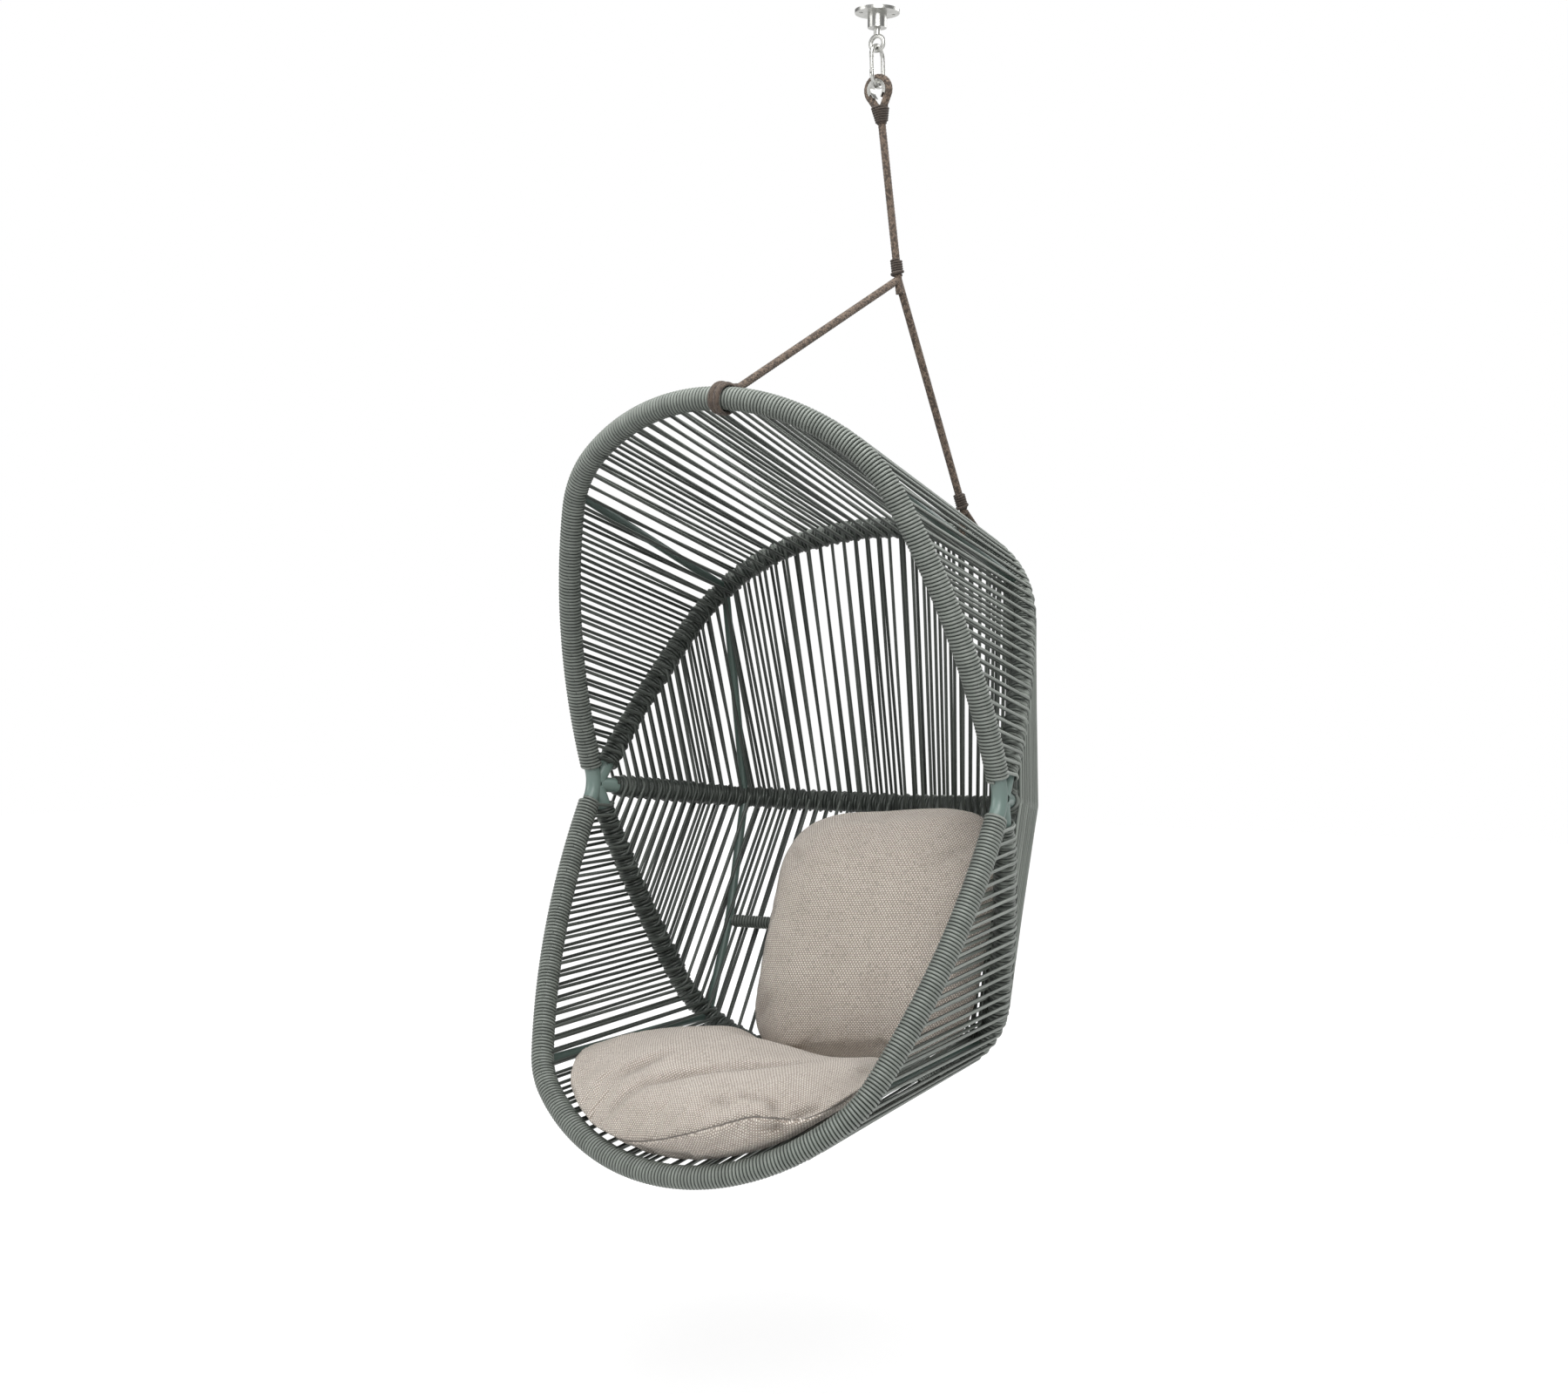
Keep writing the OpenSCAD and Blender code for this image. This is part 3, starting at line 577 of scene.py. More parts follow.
class Wardrobe:
    """The chair's materials, and the finishing of its pieces."""

    def __init__(self) -> None:
        """Makes every material once."""
        effects = Effects()
        # The ribs take a darker copy of the sage paint: painted shade for ribs that stand in the
        # chair's own shade.
        shaded = PaintFinish("sage_powder_coat_painted_shade", ((80, 96, 90), (58, 72, 67)))
        self.rib = shaded.make(effects)
        self.of = {slot: finish.make(effects) for slot, finish in {
            # The cord's dark colour is what its painted shade darkens towards, as well as its own
            # darker tone.
            Slot.CORD: CordFinish("green_cord", ((140, 146, 139), (50, 55, 51))),
            Slot.PAINT: PaintFinish("sage_powder_coat", ((110, 128, 122), (88, 104, 99))),
            Slot.ROPE: RopeFinish("braided_rope", ((120, 104, 90), (96, 82, 70), (50, 42, 36))),
            Slot.STEEL: SteelFinish("plated_steel", ((196, 196, 192), (150, 150, 146))),
            Slot.WEAVE: WeaveFinish("taupe_weave", ((232, 224, 214), (176, 164, 152),
                                                    (92, 80, 69), (70, 60, 52))),
        }.items()}

    def dress(self, node: Piece, finish: bpy.types.Material) -> None:
        """Gives a CAD node one material in all its slots."""
        if not node.data.materials:
            node.data.materials.append(finish)
        for index in range(len(node.data.materials)):
            node.data.materials[index] = finish

    def settle(self, piece: Piece, node: str, slot: Slot, body: Body) -> Piece:
        """Dresses a finished piece, ties it to its body and hides the CAD node that it stands for.

        Args:
            piece: The new object.
            node: The CAD node that it replaces.
            slot: Its material slot in the record.
            body: The body that it moves with.

        Returns:
            The same object.
        """
        piece.data.materials.append(self.of[slot])
        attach(piece, body.value)
        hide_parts(node)
        log.info("%s: %d faces", piece.name, len(piece.data.polygons))
        return piece

    def add(self, name: str, slot: Slot, *shells: Shell) -> Piece:
        """Makes shells one piece of the chair's body, in place of the CAD node of its name."""
        return self.settle(join(*shells).build(name), name, slot, Body.CHAIR)


# ---- The frame's arches ---------------------------------------------------------------------


@dataclass(frozen=True)
class Arch:
    """One arch: a straight root and three arcs a side, in a plane through the joint axis.

    Its plane stands at angle from the front. The root leans in by lean, the side arc ends at
    side_turn and the shoulder arc at shoulder_turn, and the crown arc closes the arch.
    """

    name: str
    angle: float
    lean: float
    side_turn: float
    shoulder_turn: float
    side_r: float
    shoulder_r: float
    root: float
    gap: float

    def arcs(self) -> list[tuple[Array, float, float, float]]:
        """Centre, radius, first turn and starting length of each arc of the right half."""
        t0, t1, t2 = (math.radians(a) for a in (self.lean, self.side_turn, self.shoulder_turn))
        start = np.array([HALF_SPAN - self.root * math.sin(t0), self.root * math.cos(t0)])
        crown_r = (start[0] - self.side_r * (math.cos(t0) - math.cos(t1))
                   - self.shoulder_r * (math.cos(t1) - math.cos(t2))) / math.cos(t2)
        length = self.root
        found = []
        for radius, low, high in ((self.side_r, t0, t1), (self.shoulder_r, t1, t2),
                                  (crown_r, t2, math.pi / 2)):
            centre = start - radius * np.array([math.cos(low), math.sin(low)])
            found.append((centre, radius, low, length))
            start = centre + radius * np.array([math.cos(high), math.sin(high)])
            length += radius * (high - low)
        return found

    @property
    def half(self) -> float:
        """Length from a side joint to the top of the arch."""
        _, radius, low, length = self.arcs()[-1]
        return length + radius * (math.pi / 2 - low)

    def frame(self, s: Array) -> tuple[Array, Array, Array, Array]:
        """The arch at lengths s along it, from the right joint over the top to the left one.

        Each half is worked out on the right: an arc's point is its centre plus its radius times
        (cos turn, sin turn). The left half is the mirror image, walked the other way.

        Args:
            s: Lengths of any shape, from 0 to twice the half length.

        Returns:
            Points, headings, outward normals in the arch's plane, and the plane's own normal.
        """
        s = np.asarray(s, float)
        left = s > self.half
        r = np.where(left, 2 * self.half - s, s)
        lean = math.radians(self.lean)
        x = HALF_SPAN - r * math.sin(lean)
        q = r * math.cos(lean)
        turn = np.full(s.shape, lean)
        for centre, radius, low, length in self.arcs():
            here = r >= length
            angle = low + (r - length) / radius
            x = np.where(here, centre[0] + radius * np.cos(angle), x)
            q = np.where(here, centre[1] + radius * np.sin(angle), q)
            turn = np.where(here, angle, turn)
        mirror = np.where(left, -1.0, 1.0)
        tilt = math.radians(self.angle)
        side, up = np.array([1.0, 0.0, 0.0]), np.array([0.0, math.cos(tilt), math.sin(tilt)])
        point = (mirror * x)[..., None] * side + q[..., None] * up
        heading = (-np.sin(turn))[..., None] * side + (mirror * np.cos(turn))[..., None] * up
        outward = (mirror * np.cos(turn))[..., None] * side + np.sin(turn)[..., None] * up
        return point, heading, outward, np.broadcast_to(np.cross(side, up), point.shape)

    def at_x(self, x: float) -> tuple[Array, Array]:
        """The point and heading at which the right half stands x from the middle."""
        s = np.linspace(self.root, self.half, 4000)
        length = float(np.interp(-x, -self.frame(s)[0][:, 0], s))
        point, heading, _, _ = self.frame(np.array([length]))
        return point[0], heading[0]


HOOD = Arch("hood_rim", 111.5, 0, 21.5, 52, 1380, 230, 29.26, 4)
UPPER = Arch("upper_back", 54, 6, 16, 73, 2000, 290, 36, 6)
MIDDLE = Arch("middle_back", -6, 14.5, 20, 64, 2120, 270, 36, 6)
LOWER = Arch("lower_back", -67.5, 7, 17.5, 60, 2060, 190, 36, 6)
SEAT = Arch("seat_rim", -120.5, 0, 20, 45, 1480, 170, 29.26, 4)


@dataclass(frozen=True)
class Lap:
    """How a strand lies about the arch that it starts from.

    Args:
        radius: Of its centre line about the arch.
        start: Turn at which it comes out from under its neighbour, in degrees.
        sink: How much nearer to the arch it is there.
        first: Least length from the side joint to a strand.
        step: Degrees between its points.
    """

    radius: float
    start: float
    sink: float
    first: float
    step: float = 22.0

    def turns(self) -> Array:
        """The turns about the arch at which its points stand, up to 0."""
        return np.radians(np.arange(self.start, 1, self.step))


ON_RIM = Lap(RIM_WRAP_R, -132, 0.0, 40.0)
ON_RAIL = Lap(RAIL_LOOP_R, -154, 1.6, 50.0)


@dataclass(frozen=True)
class Panel:
    """Cord strung between two arches: out on one side, round the far arch, back on the other.

    Args:
        name: Its node.
        near: The arch that its loops start from.
        far: The arch that they go round.
        stagger: Strands between the crown and the first loop.
        lap: How the loops lie on the near arch.
        seed: Seed of the loops' tones.
        far_first: Least length from the side joint to a loop on the far arch.
        near_ends: Distances from the ends of a straight run at which its points stand.
        end_shares: The most of the run's length that each may be.
        sides: Corners of a ring of cord.
    """

    name: str
    near: Arch
    far: Arch
    stagger: float
    lap: Lap
    seed: int
    far_first: float = 46.0
    near_ends: tuple[float, ...] = (7.0, 16.0, 34.0, 70.0)
    end_shares: tuple[float, ...] = (0.1, 0.2, 0.3, 0.42)
    sides: int = 8

    def basis(self, s_near: Array, s_far: Array, at_far: bool) -> tuple[Array, Array, Array, Array]:
        """Where a strand touches an arch.

        Args:
            s_near: Lengths along the near arch.
            s_far: Lengths along the far arch.
            at_far: Whether the touch is at the far arch.

        Returns:
            The arch's points, its headings, the unit direction to the outgoing strand, and the
            unit direction towards the far arch, both square to the arch.
        """
        here, heading_n, _, _ = self.near.frame(s_near)
        there, heading_f, _, _ = self.far.frame(s_far)
        run = there - here
        point, heading = (there, heading_f) if at_far else (here, heading_n)
        return point, heading, unit(np.cross(heading, run)), across(run, heading)

    def match(self, s: Array, slip: float) -> Array:
        """Lengths along the far arch for lengths along the near one, measured from the crown."""
        out = s - self.near.half
        far = (np.abs(out) - slip) * self.far.half / self.near.half
        return self.far.half + np.sign(out) * np.minimum(far, self.far.half - self.far_first)

    def helix(self, s: Array) -> Array:
        """The rim's winding at lengths s: one turn in each cord pitch, in step with the strands."""
        point, _, side, ahead = self.basis(s, self.match(s, 0.0), False)
        turn = 2 * math.pi * (s - self.near.half) / CORD_PITCH
        return point + around(turn, side, ahead, RIM_WRAP_R)

    def touches(self) -> tuple[Array, Array]:
        """Lengths along the near arch at which each loop leaves it and comes back to it."""
        last = int((self.near.half - self.lap.first) / STRAND_PITCH - self.stagger - 0.5)
        index = np.arange(last + 1) + self.stagger
        hand = np.repeat([1.0, -1.0], len(index))
        steps = np.tile(index, 2)
        if self.stagger == 0:  # the loop at the crown belongs to one hand only
            hand, steps = (np.delete(v, len(index)) for v in (hand, steps))
        leaves = self.near.half - hand * steps * STRAND_PITCH
        returns = self.near.half - hand * (steps + 0.5) * STRAND_PITCH + 0.5 * CORD_PITCH
        return leaves, returns

    def near_part(self, s0: Array, f0: Array, phase: float, turns: Array) -> tuple[Array, Array]:
        """The part of each loop that lies on the near arch.

        Args:
            s0: Length along the near arch at which the cord leaves it or comes to it.
            f0: The matching length along the far arch.
            phase: The turn at which it does so.
            turns: All turns of the part.

        Returns:
            Its points, and the arch's heading at each.
        """
        s = s0[:, None] + (turns - phase) / (2 * math.pi) * CORD_PITCH
        point, heading, side, ahead = self.basis(s, np.broadcast_to(f0[:, None], s.shape), False)
        radius = self.lap.radius - self.lap.sink * np.abs(np.sin((turns - phase) / 2)) ** 4
        return point + around(turns, side, ahead, radius), heading

    def span(self, a: Array, b: Array, guide_a: Array, guide_b: Array) -> tuple[Array, Array]:
        """Points and guides on the straight run between two touches, denser towards its ends."""
        length = np.linalg.norm(b - a, axis=-1)[:, None]
        near = np.minimum(np.array(self.near_ends), length * np.array(self.end_shares))
        run = np.concatenate([near, 0.5 * length, length - near[:, ::-1]], axis=1)
        at = (run / length)[..., None]
        guide = guide_a[:, None] * (1 - at) + guide_b[:, None] * at
        return a[:, None] + (b - a)[:, None] * at, guide

    def loops(self) -> Array:
        """Centre lines of all loops, as [loops, points, 3], with a guide for each point."""
        out_s, back_s = self.touches()
        out_f, back_f = self.match(out_s, 0.0), self.match(back_s, 0.25 * STRAND_PITCH)
        wrap = self.lap.turns()
        start, guide_start = self.near_part(out_s, out_f, 0.0, wrap)
        end, guide_end = self.near_part(back_s, back_f, math.pi, math.pi - wrap[::-1])
        theta = np.radians(np.linspace(0, 180, 11))
        blend = smooth(theta / math.pi)
        point, heading, side, ahead = self.basis(
            out_s[:, None] + (back_s - out_s)[:, None] * blend,
            out_f[:, None] + (back_f - out_f)[:, None] * blend, True)
        loop = point + around(theta, side, ahead, RAIL_LOOP_R + 0.5 * np.sin(theta))
        go, guide_go = self.span(start[:, -1], loop[:, 0], guide_start[:, -1], heading[:, 0])
        back, guide_back = self.span(loop[:, -1], end[:, 0], heading[:, -1], guide_end[:, 0])
        path = np.concatenate([start, go, loop, back, end], axis=1)
        guide = np.concatenate([guide_start, guide_go, heading, guide_back, guide_end], axis=1)
        return np.stack([corner_cut(path), corner_cut(guide)])

    def strung(self) -> Shell:
        """The panel's loops, each with a tone of its own, and painted shade on the side that faces
        the chair's interior.
        """
        path, guide = self.loops()
        tone = np.random.default_rng(self.seed).uniform(0.0, 0.3, len(path))
        return sweep(path, guide, CORD_R, self.sides, tone=tone[:, None], inner=0.8)


@dataclass
class WoundFrame:
    """The five arches: close windings on the two rims, bases for the loops on the back rails.

    Args:
        wardrobe: The finishes.
        rings: Rings of cord in one turn.
        sides: Corners of a ring.
        bar_reach: Half the length of the crossbar's winding.
        bar_at: Where the crossbar stands, to the back and up.
        bar_wrap_r: Radius of its winding's centre line.
        panels: The strung panels.
    """

    wardrobe: Wardrobe
    rings: int = 20
    sides: int = 8
    bar_reach: float = 272.0
    bar_at: tuple[float, float] = (240.0, -268.0)
    bar_wrap_r: float = 9.0
    panels: tuple[Panel, ...] = (
        Panel("hood_web", HOOD, UPPER, 0.0, ON_RIM, 11),
        Panel("upper_back_web", UPPER, MIDDLE, 0.5, ON_RAIL, 12),
        Panel("lower_back_web", LOWER, MIDDLE, 0.0, ON_RAIL, 13),
        Panel("seat_web", SEAT, LOWER, 0.0, ON_RIM, 14),
    )

    def wind(self, name: str, path: Array, guide: Array, tone: float | Array,
             painted_groove_shade: float = 0.6, inner: float = 0.7) -> None:
        """Builds a winding from its helix, with painted shade between its turns and on its inward
        side.
        """
        shell = sweep(path[None], guide, CORD_R, self.sides, tone, painted_groove_shade, inner)
        self.wardrobe.add(name + "_winding", Slot.CORD, shell)

    def lengths(self, arch: Arch) -> Array:
        """Lengths along an arch at which the rings of its winding stand."""
        start = arch.root + arch.gap + CORD_R
        turns = (2 * arch.half - 2 * start) / CORD_PITCH
        return np.linspace(start, 2 * arch.half - start, int(turns * self.rings) + 1)

    def rim_winding(self, panel: Panel) -> None:
        """Winds a rim closely, each fourth turn in step with a strand of its panel."""
        s = self.lengths(panel.near)
        tone = 0.08 + 0.08 * np.sin(s / 31.0) * np.sin(s / 7.3)
        # Painted shade: full darkening between turns, a little on the side facing the interior.
        self.wind(panel.near.name, panel.helix(s), panel.near.frame(s)[1], tone, 1.0, 0.25)

    def rail_winding(self, arch: Arch) -> None:
        """Winds a back rail: a helix about its tube, under the loops of both panels."""
        s = self.lengths(arch)
        point, heading, outward, normal = arch.frame(s)
        path = point + around(2 * math.pi * s / CORD_PITCH, outward, normal,
                              RAIL_BASE_R + 0.5 * np.sin(s / 11.0))
        self.wind(arch.name, path, heading, 0.2 + 0.2 * np.sin(s / 23.0) * np.sin(s / 5.9))

    def bar_winding(self) -> None:
        """Winds the crossbar with the same cord."""
        count = int(2 * self.bar_reach / CORD_PITCH * self.rings)
        x = np.linspace(-self.bar_reach, self.bar_reach, count)
        side, back, up = np.eye(3)
        path = x[:, None] * side + self.bar_at[0] * back + self.bar_at[1] * up
        path = path + around(2 * math.pi * x / CORD_PITCH, back, up, self.bar_wrap_r)
        self.wind("crossbar", path, side, 0.0)

    def build(self) -> None:
        """Builds windings and panels, and paints the tubes, ribs and joints."""
        for panel in self.panels:
            if panel.lap is ON_RIM:
                self.rim_winding(panel)
        for arch in (UPPER, MIDDLE, LOWER):
            self.rail_winding(arch)
        self.bar_winding()
        for panel in self.panels:
            self.wardrobe.add(panel.name, Slot.CORD, panel.strung())
        for name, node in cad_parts.items():
            # Ribs get the darker copy of the paint, as painted shade.
            if "_rib_" in name:
                self.wardrobe.dress(node, self.wardrobe.rib)
            elif name.endswith("_tube") or name.startswith("side_joint") or name == "crossbar":
                self.wardrobe.dress(node, self.wardrobe.of[Slot.PAINT])


# ---- Rope harness and ceiling fitting -------------------------------------------------------


@dataclass
class Harness:
    """The Y of braided rope, its bindings, and the loops round two arches.

    Args:
        wardrobe: The finishes.
        sides: Corners of a ring of rope.
        plaits: Plaits of one family round the rope, an even number.
        lay: Length of rope in which a plait goes once round.
        relief: Height of the plaits' pillows.
        bound: Tone of the bindings.
        eye_low: How far the main rope starts below its hinge.
        tail: How far it ends above the knot.
        rear_split: Length of the rear leg, down to where it parts.
        rear_band: Distance of the rear binding from the knot.
        band_r: Radius of the centre line of a loop round an arch.
        band_gap: Half the distance between the two turns of the front loop.
        front_x: Where the front loop is on the hood rim, from the middle.
        rear_x: Where the rear loop is on the upper back rail, from the middle.
    """

    wardrobe: Wardrobe
    sides: int = 40
    plaits: int = 8
    lay: float = 45.0
    relief: float = 0.8
    bound: float = 0.8
    eye_low: float = 63.0
    tail: float = 26.0
    rear_split: float = 448.4
    rear_band: float = 437.0
    band_r: float = 24.6
    band_gap: float = 6.0
    front_x: float = 36.0
    rear_x: float = 190.0

    def braid(self, run: Array) -> Array:
        """Relief of a round braid: two families of plaits that cross over and under.

        The plaits of each family are numbered a and b, growing round the rope and along it in
        opposite directions. The height is |sin(pi a) cos(pi b)|, one pillow for each crossing.

        Args:
            run: Length along the rope at each ring.

        Returns:
            Heights as [rings, sides].
        """
        round_it = np.arange(self.sides) / self.sides
        along = (run / self.lay)[:, None]
        a = self.plaits * (round_it + along)
        b = self.plaits * (round_it - along)
        pillows = np.sqrt(np.abs(np.sin(np.pi * a) * np.cos(np.pi * b)))
        return self.relief * (pillows - 0.5)

    def rope(self, path: Array, guide: Array, flat: float = 0.0, tone: float = 0.0) -> Shell:
        """A braided rope along one path.

        Args:
            path: Its centre line.
            guide: Direction never parallel to it.
            flat: How far it is pressed flat along its first axis: 0 leaves it round.
            tone: Its shade.

        Returns:
            The rope.
        """
        angle = 2 * math.pi * np.arange(self.sides) / self.sides
        wide = ROPE_R - 0.3
        thin = wide * (1 - flat)
        oval = thin * wide / np.sqrt((wide * np.cos(angle)) ** 2 + (thin * np.sin(angle)) ** 2)
        return sweep(path[None], guide, oval + self.braid(walked(path)), self.sides, tone)

    def stretch(self, name: str, path: Array, guide: Array, ends: tuple[Piece, ...] = ()) -> None:
        """Args:
            name: Its node.
            path: Its centre line, from where it leaves the chair or a binding.
            guide: Direction never parallel to it.
            ends: The pieces at its far end, where that isn't the knot. Not used.
        """
        piece = self.wardrobe.add(name, Slot.ROPE, self.rope(path, guide))

    def line(self, a: Array, b: Array, step: float = 1.4) -> Array:
        """Points on a straight line about step apart."""
        count = max(int(np.linalg.norm(b - a) / step), 2)
        return a + (b - a) * np.linspace(0.0, 1.0, count)[:, None]

    def tied(self, foot_a: Array, bend: Array, foot_b: Array) -> Array:
        """A path from one foot round a bend to the other foot."""
        return np.concatenate([self.line(foot_a, bend[0])[:-1], bend,
                               self.line(bend[-1], foot_b)[1:]])

    def hang(self, local: Array) -> Array:
        """Points of the hanging rope's frame (hinge at the origin, rope down -Z) in the chair's."""
        fall = KNOT - HINGE
        back = math.degrees(math.atan2(fall[1], -fall[2]))
        side = -math.degrees(math.asin(fall[0] / np.linalg.norm(fall)))
        return HINGE + local @ (turned("X", back) @ turned("Y", side)).T

    def binding(self, origin: Array, axis: Array, start: float, turns: float, outer: float,
                cord: float, taper: tuple[float, float] = (0.0, 0.0)) -> Shell:
        """Cord wound round a rope, with its ends tucked in.

        Args:
            origin: Point on the rope's axis.
            axis: Unit direction of the rope.
            start: Distance of the first turn from origin.
            turns: Number of turns.
            outer: Radius of the cord's centre line.
            cord: Radius of the binding cord.
            taper: Added to the outer radius at the first and at the last turn.

        Returns:
            The wound cord.
        """
        t = np.linspace(0.0, 1.0, int(turns * 28))
        first = across(np.array([1.0, 0.2, 0.1]), axis)
        tucked = ROPE_R * 0.7
        ends = smooth(t * turns * 3) * smooth((1 - t) * turns * 3)
        radius = tucked + (outer - tucked) * ends + taper[0] + (taper[1] - taper[0]) * t
        path = (origin + (start + 2.05 * cord * turns * t)[:, None] * axis
                + around(2 * math.pi * turns * t, first, np.cross(axis, first), radius))
        return sweep(path[None], axis, cord, 10, self.bound)

    def seizing(self, origin: Array, axis: Array, start: float) -> tuple[Shell, Shell]:
        """A short dark binding, closed by a fatter turn at its start.

        Args:
            origin: Point on the rope's axis.
            axis: Unit direction from the fatter turn to the other end.
            start: Distance of the fatter turn from origin.

        Returns:
            The close turns and the fatter one.
        """
        return (self.binding(origin, axis, start + 3.0, turns=6.0, outer=ROPE_R + 2.0, cord=2.1),
                self.binding(origin, axis, start, turns=1.3, outer=ROPE_R + 2.9, cord=3.0))

    def build(self) -> None:
        """Builds each length of rope and each binding."""
        fall = unit(KNOT - HINGE)
        top = self.hang(np.array([0.0, 0.0, -self.eye_low]))
        self.stretch("main_rope", self.line(KNOT + fall * self.tail, top),
                     np.array([1.0, 0.3, 0.0]), self.eye())
        self.front()
        self.rear()
        self.wardrobe.add("knot_seizing", Slot.ROPE, *self.seizing(KNOT, -fall, 7.0))

    def front(self) -> None:
        """The leg to the hood: two turns of rope drawn flat round the rim, with a hitch on them."""
        point, heading = HOOD.at_x(self.front_x)
        pull = unit(KNOT - point)
        along = across(heading, pull)
        self.stretch("front_leg", self.line(point + pull * self.band_r, KNOT),
                     np.array([1.0, 0.2, 0.3]))
        turn = np.linspace(-math.pi, math.pi, 130)
        ring = point + around(turn, pull, np.cross(along, pull), self.band_r)
        turns = [self.rope(ring + side * self.band_gap * along, along, flat=0.45, tone=0.55)
                 for side in (-1, 1)]
        hitch = self.binding(point, pull, self.band_r, turns=1.8, outer=ROPE_R + 1.8, cord=3.8)
        self.wardrobe.add("front_loop", Slot.ROPE, *turns, hitch)

    def rear(self) -> None:
        """The leg to the upper rail: it splits below its binding and goes round the rail."""
        point, heading = UPPER.at_x(self.rear_x)
        fall = unit(point - KNOT)
        self.stretch("rear_leg", self.line(KNOT + fall * self.rear_split, KNOT),
                     np.array([1.0, 0.0, 0.2]))
        along = across(heading, -fall)
        second = np.cross(along, -fall)
        hug, apart = self.band_r - 2.0, 4.5
        rise = float(np.linalg.norm(point - KNOT)) - self.rear_split + 2
        start = math.atan2(apart, rise) + math.acos(hug / math.hypot(rise, apart))
        ring = point + around(np.linspace(start, 2 * math.pi - start, 110), -fall, second, hug)
        feet = [point - fall * (rise + 4) + side * 3.5 * second for side in (1, -1)]
        self.wardrobe.add("rear_loop", Slot.ROPE,
                          self.rope(self.tied(feet[0], ring, feet[1]), along, flat=0.35, tone=0.3))
        self.wardrobe.add("rear_seizing", Slot.ROPE,
                          *self.seizing(KNOT + fall * self.rear_band, -fall, 0.0))

    def eye(self) -> tuple[Piece, ...]:
        """The spliced eye round the thimble, and the whipping over the splice.

        Returns:
            Both pieces and the thimble.
        """
        radius, lift, half = 21.5, 5.7, math.radians(30)
        leg = (radius * math.cos(half) - ROPE_R) / math.sin(half)
        x, y, z = np.eye(3)
        bend = around(np.linspace(-half, math.pi + half, 110), x, z, radius)
        feet = [end - leg * (side * math.sin(half) * x + math.cos(half) * z)
                for end, side in ((bend[0], 1), (bend[-1], -1))]
        path = self.hang(self.tied(feet[0], bend, feet[1]) - lift * z)
        loop = self.wardrobe.add("rope_eye", Slot.ROPE, self.rope(path, self.hang(y) - HINGE))
        fall = unit(KNOT - HINGE)
        core = self.line(HINGE + fall * 35, HINGE + fall * 67, 2.0)
        taper = np.linspace(14.6, 8.6, len(core))[:, None]
        inner = sweep(core[None], np.array([1.0, 0.3, 0.0]), taper, 28, self.bound)
        whip = self.binding(HINGE, fall, 36.5, turns=7.0, outer=9.0, cord=2.0, taper=(6.0, 0.2))
        return (loop, self.wardrobe.add("eye_seizing", Slot.ROPE, inner, whip),
                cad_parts["thimble"])


def dress_fitting(wardrobe: Wardrobe) -> None:
    """Dresses the steel parts, which keep their CAD shapes."""
    for name in ("ceiling_plate", "swivel_housing", "swivel_eye", "carabiner", "gate_pin",
                 "carabiner_gate", "thimble"):
        wardrobe.dress(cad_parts[name], wardrobe.of[Slot.STEEL])


# ---- Cushions -------------------------------------------------------------------------------


@dataclass(frozen=True)
class Crease:
    """A soft groove in a cushion between two points near its surface, fading at its ends."""

    start: tuple[float, float, float]
    end: tuple[float, float, float]
    width: float
    depth: float

    def depth_at(self, points: Array) -> Array:
        """Depth of the groove at each point, by its distance from a line between two of them."""
        a, b = (points[np.argmin(np.sum((points - np.array(end)) ** 2, axis=1))]
                for end in (self.start, self.end))
        t = np.clip((points - a) @ (b - a) / np.sum((b - a) ** 2), 0.0, 1.0)
        gap = np.linalg.norm(points - (a + t[:, None] * (b - a)), axis=1)
        return self.depth * (0.35 + 0.65 * np.sin(math.pi * t)) * np.exp(-(gap / self.width) ** 2)


